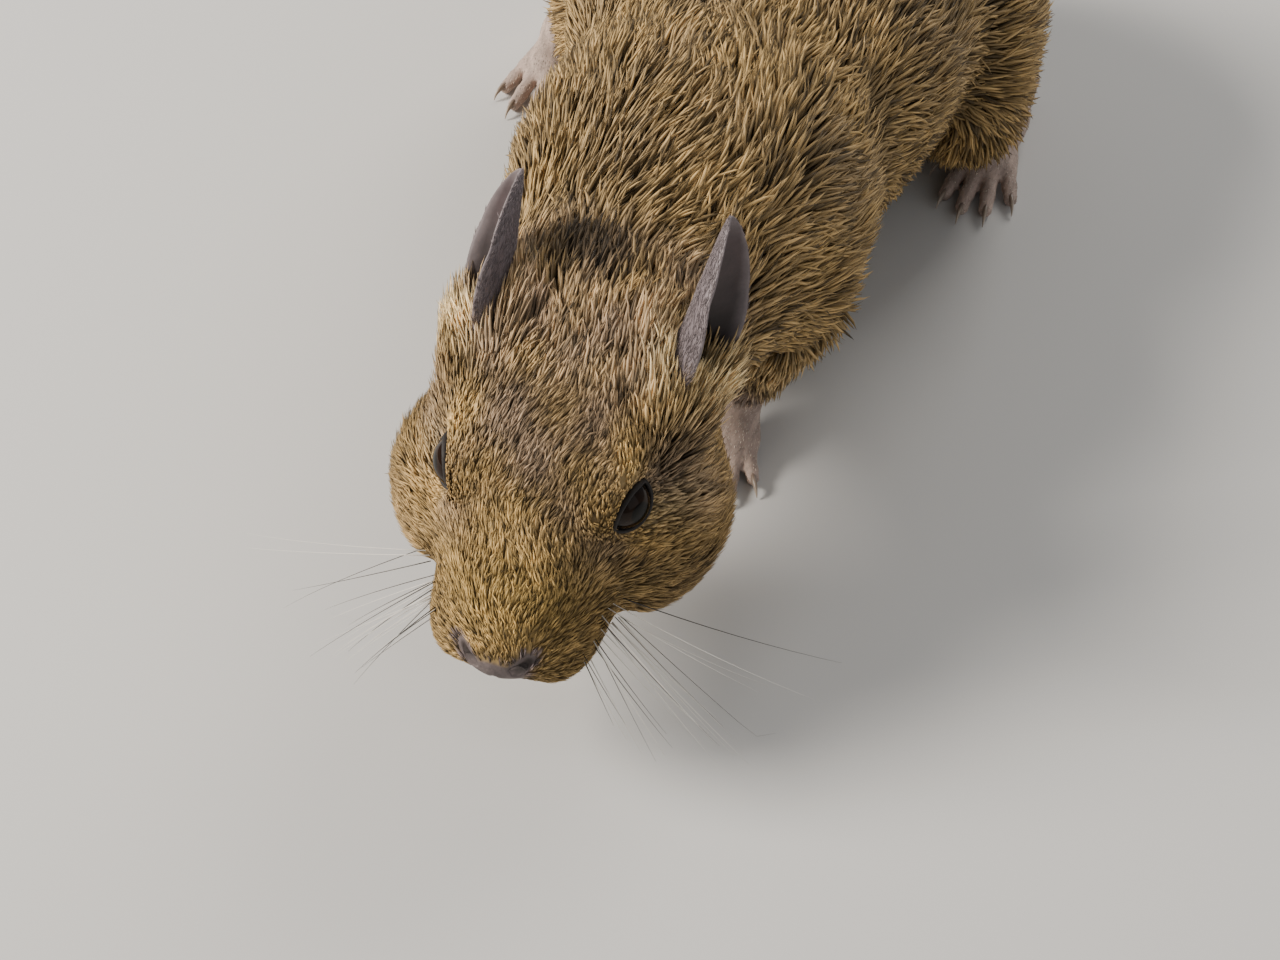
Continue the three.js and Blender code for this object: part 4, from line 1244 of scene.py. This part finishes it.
def lidRing(side):
    look = eyeLooks[side]
    level = unit(np.cross((0, 0, 1.0), look))
    rise = np.cross(look, level)
    turn = math.radians(side * eyeLook["tilt"])
    cosine, sine = math.cos(turn), math.sin(turn)
    level, rise = level * cosine + rise * sine, rise * cosine - level * sine
    path, radii = [], []
    for n in range(eyeLook["lidStations"]):
        angle = n / eyeLook["lidStations"] * 2 * math.pi
        corner = abs(math.cos(angle)) ** 8
        across = math.cos(angle) * eyeLook["lidLength"] / 2 * (1 + 0.1 * corner)
        high = math.sin(angle) * eyeLook["lidHeight"] / 2
        out = math.sqrt(eye["radius"] ** 2 - across ** 2 - high ** 2)
        outward = unit(look * out + level * across + rise * high)
        path.append(eyeMiddle(side) + outward * (eye["radius"] + eyeLook["lidOut"]))
        radii.append((eyeLook["lidWide"], eyeLook["lidThick"] * (1.15 if math.sin(angle) > 0 else 0.9)))
    points, faces = sweptTube(path, np.array(radii), 8, closed=True, up=look)
    return fromHead(points), faces


def makeLids():
    points, faces, _ = joinArrays([lidRing(1), lidRing(-1)])
    mesh = newMesh("eyelids", toFrame(points), faces)
    writeColour(mesh, "markings", np.repeat(eyeLook["rimColour"][None], len(points), 0))
    place(mesh, materials["skin"])


clawLook = {
    "length": 3.1, "radius": 0.6, "drop": 0.5, "sides": 8, "stations": 7, "floorGap": 0.05,
    "hornStops": [(0.0, linear(0x6A5A50)), (1.0, linear(0xB7A795))],
}


def clawShape(foot, toe, side):
    length = toe[0]
    _, thick, spotAt = toePath(foot, toe, side)
    share = math.sqrt(foot["toeRadius"] / hindFoot["toeRadius"])
    size = clawLook["length"] * (stubToe["claw"] if length < stubToe["below"] else share)
    pad = thick * 0.86
    start = spotAt(length - 0.5, pad * 1.3)
    bow = spotAt(length + size * 0.7, pad * 1.9)
    end = spotAt(length + size, clawLook["drop"] * 0.6)
    t = np.linspace(0, 1, clawLook["stations"])[:, None]
    path = (1 - t) ** 2 * start + 2 * t * (1 - t) * bow + t * t * end
    radius = clawLook["radius"] * (1 - 0.9 * t[:, 0] ** 1.3)
    return sweptTube(path, np.stack([radius * 0.8, radius * 1.15], 1), clawLook["sides"], up=(0, 0, 1))


def makeClaws():
    material, tree, shader = newMaterial("claw horn", Roughness=0.32)
    horn = colourRamp(tree, attributeNode(tree, "along").outputs["Fac"], clawLook["hornStops"])
    tree.links.new(horn, shader.inputs["Base Color"])
    for name, foot in (("hind", hindFoot), ("fore", foreFoot)):
        pieces = []
        for side in (1, -1):
            turn, at = footPlace(foot, side)
            for toe in foot["toes"]:
                shape, faces = clawShape(foot, toe, side)
                pieces.append((shape @ turn.T + at, faces))
        points, faces, _ = joinArrays(pieces)
        points[:, 2] = np.maximum(points[:, 2], clawLook["floorGap"])
        mesh = newMesh(f"claws_{name}", toFrame(points), faces)
        along = np.repeat(np.linspace(0, 1, clawLook["stations"]), clawLook["sides"])
        writeValue(mesh, "along", np.tile(along, len(pieces)))
        place(mesh, material)


# Ears: thin cups, rolled at the root and open to their own side

earPlan = {
    "width": 15.6, "wall": 0.55, "base": 0.78, "widest": 0.32, "curl": (112, 68),
    "roots": {1: (10.4, 2.4, 4.6), -1: (-9.3, 2.6, 4.8)},
    "tips": {1: (15.6, 16.6, 20.2), -1: (-10.4, 17, 20)},
    "facing": {1: (0.95, -0.2, 0.12), -1: (-0.9, -0.46, 0.12)},
    "rows": 44, "columns": 36, "rootAt": -0.12, "ripple": 0.12, "seed": 27,
    # the paler rim and tip are a painted highlight, where light catches the thin edge of the ear
    "back": linear(0x73686B), "rim": linear(0x8C8182),
    # the inside goes darker toward the root: the ear's own dark inner skin, with painted shade in the hollow
    # of the cup
    "inside": linear(0x48393A), "deepShade": linear(0x1D1614),
}
earHair = {
    "count": 3600, "sway": 0.25, "lift": 0.12, "sink": 0.03,
    "lengths": (2.6, 1.1, 0.7), "lengthsAt": (0, 0.25, 1), "widths": (0.22, 0.1), "widthsAt": (0, 0.3),
    "colour": linear(0x837879), "rootColour": linear(0x9A8058),
}


def earPoint(side, t, across, skin):
    # t runs from root to tip, across from -1 to 1 over the cup, skin 0 is the back and 1 the inside
    root = np.array(earPlan["roots"][side], float)
    up = np.array(earPlan["tips"][side]) - root
    length = np.linalg.norm(up)
    up = up / length
    facing = np.array(earPlan["facing"][side], float)
    facing = unit(facing - up * (facing @ up))
    sideAxis = np.cross(up, facing)
    widest = earPlan["widest"]
    low = earPlan["base"] + (1 - earPlan["base"]) * np.sin(np.pi / 2 * np.clip(t / widest, -0.9, 1))
    high = np.maximum(1 - (np.maximum(t - widest, 0) / (1.003 - widest)) ** 1.9, 0) ** 0.66
    halfWidth = earPlan["width"] / 2 * low * high
    wrap = np.radians(np.interp(t * 1.6, (0, 1), earPlan["curl"]))
    radius = halfWidth / wrap
    wall = (earPlan["wall"] + 2.2 * np.maximum(0.12 - t, 0)) * (1 - 0.45 * np.maximum(t, 0))
    wall = wall * (1 - 0.55 * across ** 6)
    centre = root + up * (length * t)[:, None]
    centre = centre + facing * (radius * 0.75 + 1.6 * np.sin(np.pi * np.maximum(t, 0)) - 1.2)[:, None]
    angle = wrap * across
    r = np.maximum(radius - skin * wall, 0.05)
    return centre + sideAxis * (r * np.sin(angle))[:, None] - facing * (r * np.cos(angle))[:, None]


def earFaces(rows, columns):
    # both skins of the cup, then its two long edges and its two ends
    wide = columns + 1
    size = (rows + 1) * wide
    faces = []
    for row in range(rows):
        for column in range(columns):
            n = row * wide + column
            cell = (n, n + 1, n + 1 + wide, n + wide)
            faces.append(cell[::-1])
            faces.append(tuple(corner + size for corner in cell))
        n = row * wide
        faces.append((n + size, n + size + wide, n + wide, n))
        n += columns
        faces.append((n, n + wide, n + wide + size, n + size))
    for n in range(columns):
        low = (n, n + size, n + size + 1, n + 1)
        faces.append(low[::-1])
        faces.append(tuple(corner + rows * wide for corner in low))
    return faces


def makeEarCup(side, word):
    rows, columns = earPlan["rows"], earPlan["columns"]
    rootAt = earPlan["rootAt"]
    t = rootAt + (1 - rootAt) * np.sin(np.linspace(0, np.pi / 2, rows + 1))  # closer rows toward the tip
    grid = np.stack(np.meshgrid(t, np.linspace(-1, 1, columns + 1), indexing="ij"), -1).reshape(-1, 2)
    back, inside = (earPoint(side, grid[:, 0], grid[:, 1], skin) for skin in (0, 1))
    ripple = earPlan["ripple"] * (drift(inside, 5, 31) - 0.5)
    points = np.concatenate([back, inside + ripple[:, None] * unit(back - inside + 1e-6)])
    mesh = newMesh(f"ear_{word}_cup", toFrame(fromHead(points)), earFaces(rows, columns))
    up, across = np.tile(grid, (2, 1)).T
    # paler edges and tip: painted highlight where light catches the thin rim
    rim = np.maximum(ramp(np.abs(across), 0.75, 1.0), ramp(up, 0.86, 1.0))
    inner = np.repeat([0.0, 1.0], len(grid))
    colour = mix(earPlan["back"], earPlan["inside"], inner * 0.9)
    # darker toward the root inside the cup: dark inner skin, with painted shade in the hollow
    colour = mix(colour, earPlan["deepShade"], inner * (1 - ramp(up, 0.25, 0.95)) * 0.92)
    writeColour(mesh, "markings", mix(colour, earPlan["rim"], rim * 0.6))
    cup = place(mesh, materials["ear"])
    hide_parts(f"ear_{word}")


def makeEarHair(side, word, rng):
    # fine hair over the back of the ear, longer at its root
    count = earHair["count"]
    up, across = rng.uniform(0.0, 0.98, count), rng.uniform(-1, 1, count)
    roots = earPoint(side, up, across, 0)
    ahead = earPoint(side, up + 0.02, across, 0)
    beside = earPoint(side, up, across + 0.02, 0)
    normal = unit(np.cross(beside - roots, ahead - roots)) * -1
    outward = unit(roots - earPoint(side, up, across, 1))
    normal *= np.where((normal * outward).sum(1) < 0, -1, 1)[:, None]
    flow = swung(unit(ahead - roots), normal, rng.normal(size=count) * earHair["sway"])
    length = np.interp(up, earHair["lengthsAt"], earHair["lengths"]) * rng.uniform(0.7, 1.2, count)
    width = np.interp(up, earHair["widthsAt"], earHair["widths"])
    lift = np.full(count, earHair["lift"])
    rings, sink = coat["shortRings"], earHair["sink"]
    corners, *rest = tuftArrays(roots, normal, flow, length, width, lift, rings, sink=sink)
    corners = fromHead(corners.reshape(-1, 3)).reshape(corners.shape)
    colour = mix(earHair["colour"], earHair["rootColour"], 1 - ramp(up, 0.0, 0.35))
    uv = 0.02 + 0.96 * np.stack([(across + 1) / 2, up], 1)
    tone = rng.random(count)
    tuftObjects(f"ear_{word}_hair", (corners, *rest), colour, tone, uv, materials["earCoat"])


whiskerLook = {
    "perSide": 24, "rows": 5, "short": 10, "long": 27, "root": 0.07, "sides": 5, "stations": 9,
    "floorGap": 0.3, "seed": 9, "tones": [(0.0, linear(0x2A2420)), (0.45, linear(0xE4DFD6))],
}


def whiskerShape(side, row, back, rng):
    # back runs from 0 at the nose to 1 at the rear of the whisker pad
    at = np.array((side * 2.0, -26 + 5.5 * back, -8.2 + 1.2 * row))
    root = onBody(at, (side * 1.0, -0.25 + 0.3 * back, 0.0))
    length = np.interp(back, (0, 1), (whiskerLook["short"], whiskerLook["long"])) * rng.uniform(0.8, 1.15)
    heading = unit(np.array([
        side * 1.0,
        -1.15 + 0.95 * back + rng.normal() * 0.14,
        -0.8 + 0.16 * row + rng.normal() * 0.12,
    ]))
    bend = np.array([-0.12 * side, 0.2, -0.3 + 0.1 * rng.normal()])
    t = np.linspace(0, 1, whiskerLook["stations"])[:, None]
    path = root - heading * 0.4 + heading * length * t + bend * length * t * t * 0.6
    radius = whiskerLook["root"] * (1 - 0.85 * t[:, 0]) * rng.uniform(0.75, 1.1)
    return sweptTube(path, radius, whiskerLook["sides"])


def makeWhiskers():
    rng = np.random.default_rng(whiskerLook["seed"])
    material, tree, shader = newMaterial("whisker", Roughness=0.35)
    tint = colourRamp(tree, attributeNode(tree, "tone").outputs["Fac"], whiskerLook["tones"], "CONSTANT")
    tree.links.new(tint, shader.inputs["Base Color"])
    pieces = []
    for side in (1, -1):
        for n in range(whiskerLook["perSide"]):
            shape, faces = whiskerShape(side, n % whiskerLook["rows"], rng.random(), rng)
            pieces.append((fromHead(shape), faces))
    points, faces, owner = joinArrays(pieces)
    points[:, 2] = np.maximum(points[:, 2], whiskerLook["floorGap"])
    mesh = newMesh("whiskers", toFrame(points), faces)
    writeValue(mesh, "tone", rng.random(len(pieces))[owner])
    place(mesh, material)


brushLook = {
    "count": 2600, "lengths": (4, 8.5, 11.5), "width": 0.34, "lifts": (9, 24), "inset": 0.4,
    "past": 0.6,  # how far the hair goes past the tail's sides to below it, in radians
    "floorGap": (0.06, 0.25), "seed": 15,
}


def makeBrush():
    rng = np.random.default_rng(brushLook["seed"])
    count = brushLook["count"]
    start = 1 - (tail["brush"] + 2) / tail["length"]
    t = start + (0.99 - start) * rng.random(count) ** 0.8
    s = t * (len(tailLine) - 1)
    low = np.minimum(s.astype(int), len(tailLine) - 2)
    part = (s - low)[:, None]
    centre = tailLine[low] * (1 - part) + tailLine[low + 1] * part
    along = unit(tailLine[low + 1] - tailLine[low])
    radius = np.interp(t, np.linspace(0, 1, len(tailRadius)), tailRadius) - brushLook["inset"]
    radius *= 1 - ramp(t, 0.86, 0.96) * rng.random(count)  # the end is filled to its middle
    side = unit(np.cross((0, 0, 1.0), along))
    over = np.cross(along, side)
    past = brushLook["past"]
    turn = rng.uniform(-past, np.pi + past, count)
    normal = side * np.cos(turn)[:, None] + over * np.sin(turn)[:, None]
    length = np.interp(t, (start, 0.8, 1), brushLook["lengths"]) * (0.4 + 0.7 * rng.random(count) ** 1.4)
    lift = np.radians(rng.uniform(*brushLook["lifts"], count)) * (1 - 0.8 * ramp(t, 0.75, 1))
    roots = centre + normal * radius[:, None]
    width = np.full(count, brushLook["width"])
    corners, *rest = tuftArrays(roots, normal, along, length, width, lift, coat["rings"])
    lowest, spread = brushLook["floorGap"]
    corners[..., 2] = np.maximum(corners[..., 2], lowest + spread * rng.random(count)[:, None])
    colour = np.repeat(coatColours["tailTip"][None], count, 0)
    uv = 0.02 + 0.96 * np.stack([(t - start) / (1 - start), (turn + past) / (np.pi + 2 * past)], 1)
    tone = rng.random(count)
    brush = tuftObjects("tail_brush", (corners, *rest), colour, tone, uv, materials["brush"])
    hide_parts("tail_end")


# Camera, light and floor

view = {"azimuth": 20, "elevation": 48, "target": (8, -68, 25), "distance": 219, "fieldOfView": 38}


def makeCamera():
    data = bpy.data.cameras.new("camera")
    data.angle = math.radians(view["fieldOfView"])
    data.clip_start, data.clip_end = 0.01, 20
    camera = newObject("camera", data)
    a, e = math.radians(view["azimuth"]), math.radians(view["elevation"])
    back = Vector((math.sin(a) * math.cos(e), -math.cos(a) * math.cos(e), math.sin(e)))
    target = Vector(toFrame(np.array(view["target"], float)))
    camera.location = target + back * view["distance"] / 1000
    camera.rotation_euler = (-back).to_track_quat("-Z", "Y").to_euler()
    bpy.context.scene.camera = camera


lights = {
    "key": {"at": (-0.78, -0.36, 0.66), "size": 0.4, "power": 20.0, "colour": (1.0, 0.94, 0.86)},
    "fill": {"at": (0.75, -0.35, 0.5), "size": 0.8, "power": 0.9, "colour": (0.94, 0.97, 1.0)},
    "rim": {"at": (0.2, 0.8, 0.7), "size": 0.5, "power": 5.0, "colour": (1.0, 0.97, 0.92)},
}
studio = {
    "sky": (0.96, 0.97, 1.0, 1), "skyLight": 0.31, "floorReach": 4.0, "floorColour": (0.62, 0.61, 0.59, 1),
}


def makeStudio():
    for name, light in lights.items():
        data = bpy.data.lights.new(name, "AREA")
        data.size, data.energy, data.color = light["size"], light["power"], light["colour"]
        lamp = newObject(name, data)
        lamp.location = light["at"]
        lamp.rotation_euler = (-Vector(light["at"])).to_track_quat("-Z", "Y").to_euler()
    world = bpy.data.worlds.new("studio")
    world.use_nodes = True
    background = world.node_tree.nodes["Background"]
    background.inputs["Color"].default_value = studio["sky"]
    background.inputs["Strength"].default_value = studio["skyLight"]
    bpy.context.scene.world = world
    corners = np.array([(-1, -1, 0), (1, -1, 0), (1, 1, 0), (-1, 1, 0)]) * studio["floorReach"]
    floor = newObject("floor", newMesh("floor", corners, [(0, 1, 2, 3)]))
    material, _, _ = newMaterial("pale floor", Roughness=0.85, Base_Color=studio["floorColour"])
    floor.data.materials.append(material)


makeCamera()
makeStudio()
skinPoints, skinTriangles = makeSkin()
growCoat(skinPoints, skinTriangles)
makeEyes()
makeLids()
earRng = np.random.default_rng(earPlan["seed"])
for side, word in ((1, "left"), (-1, "right")):
    makeEarCup(side, word)
    makeEarHair(side, word, earRng)
makeClaws()
makeWhiskers()
makeBrush()
report("all pieces made")
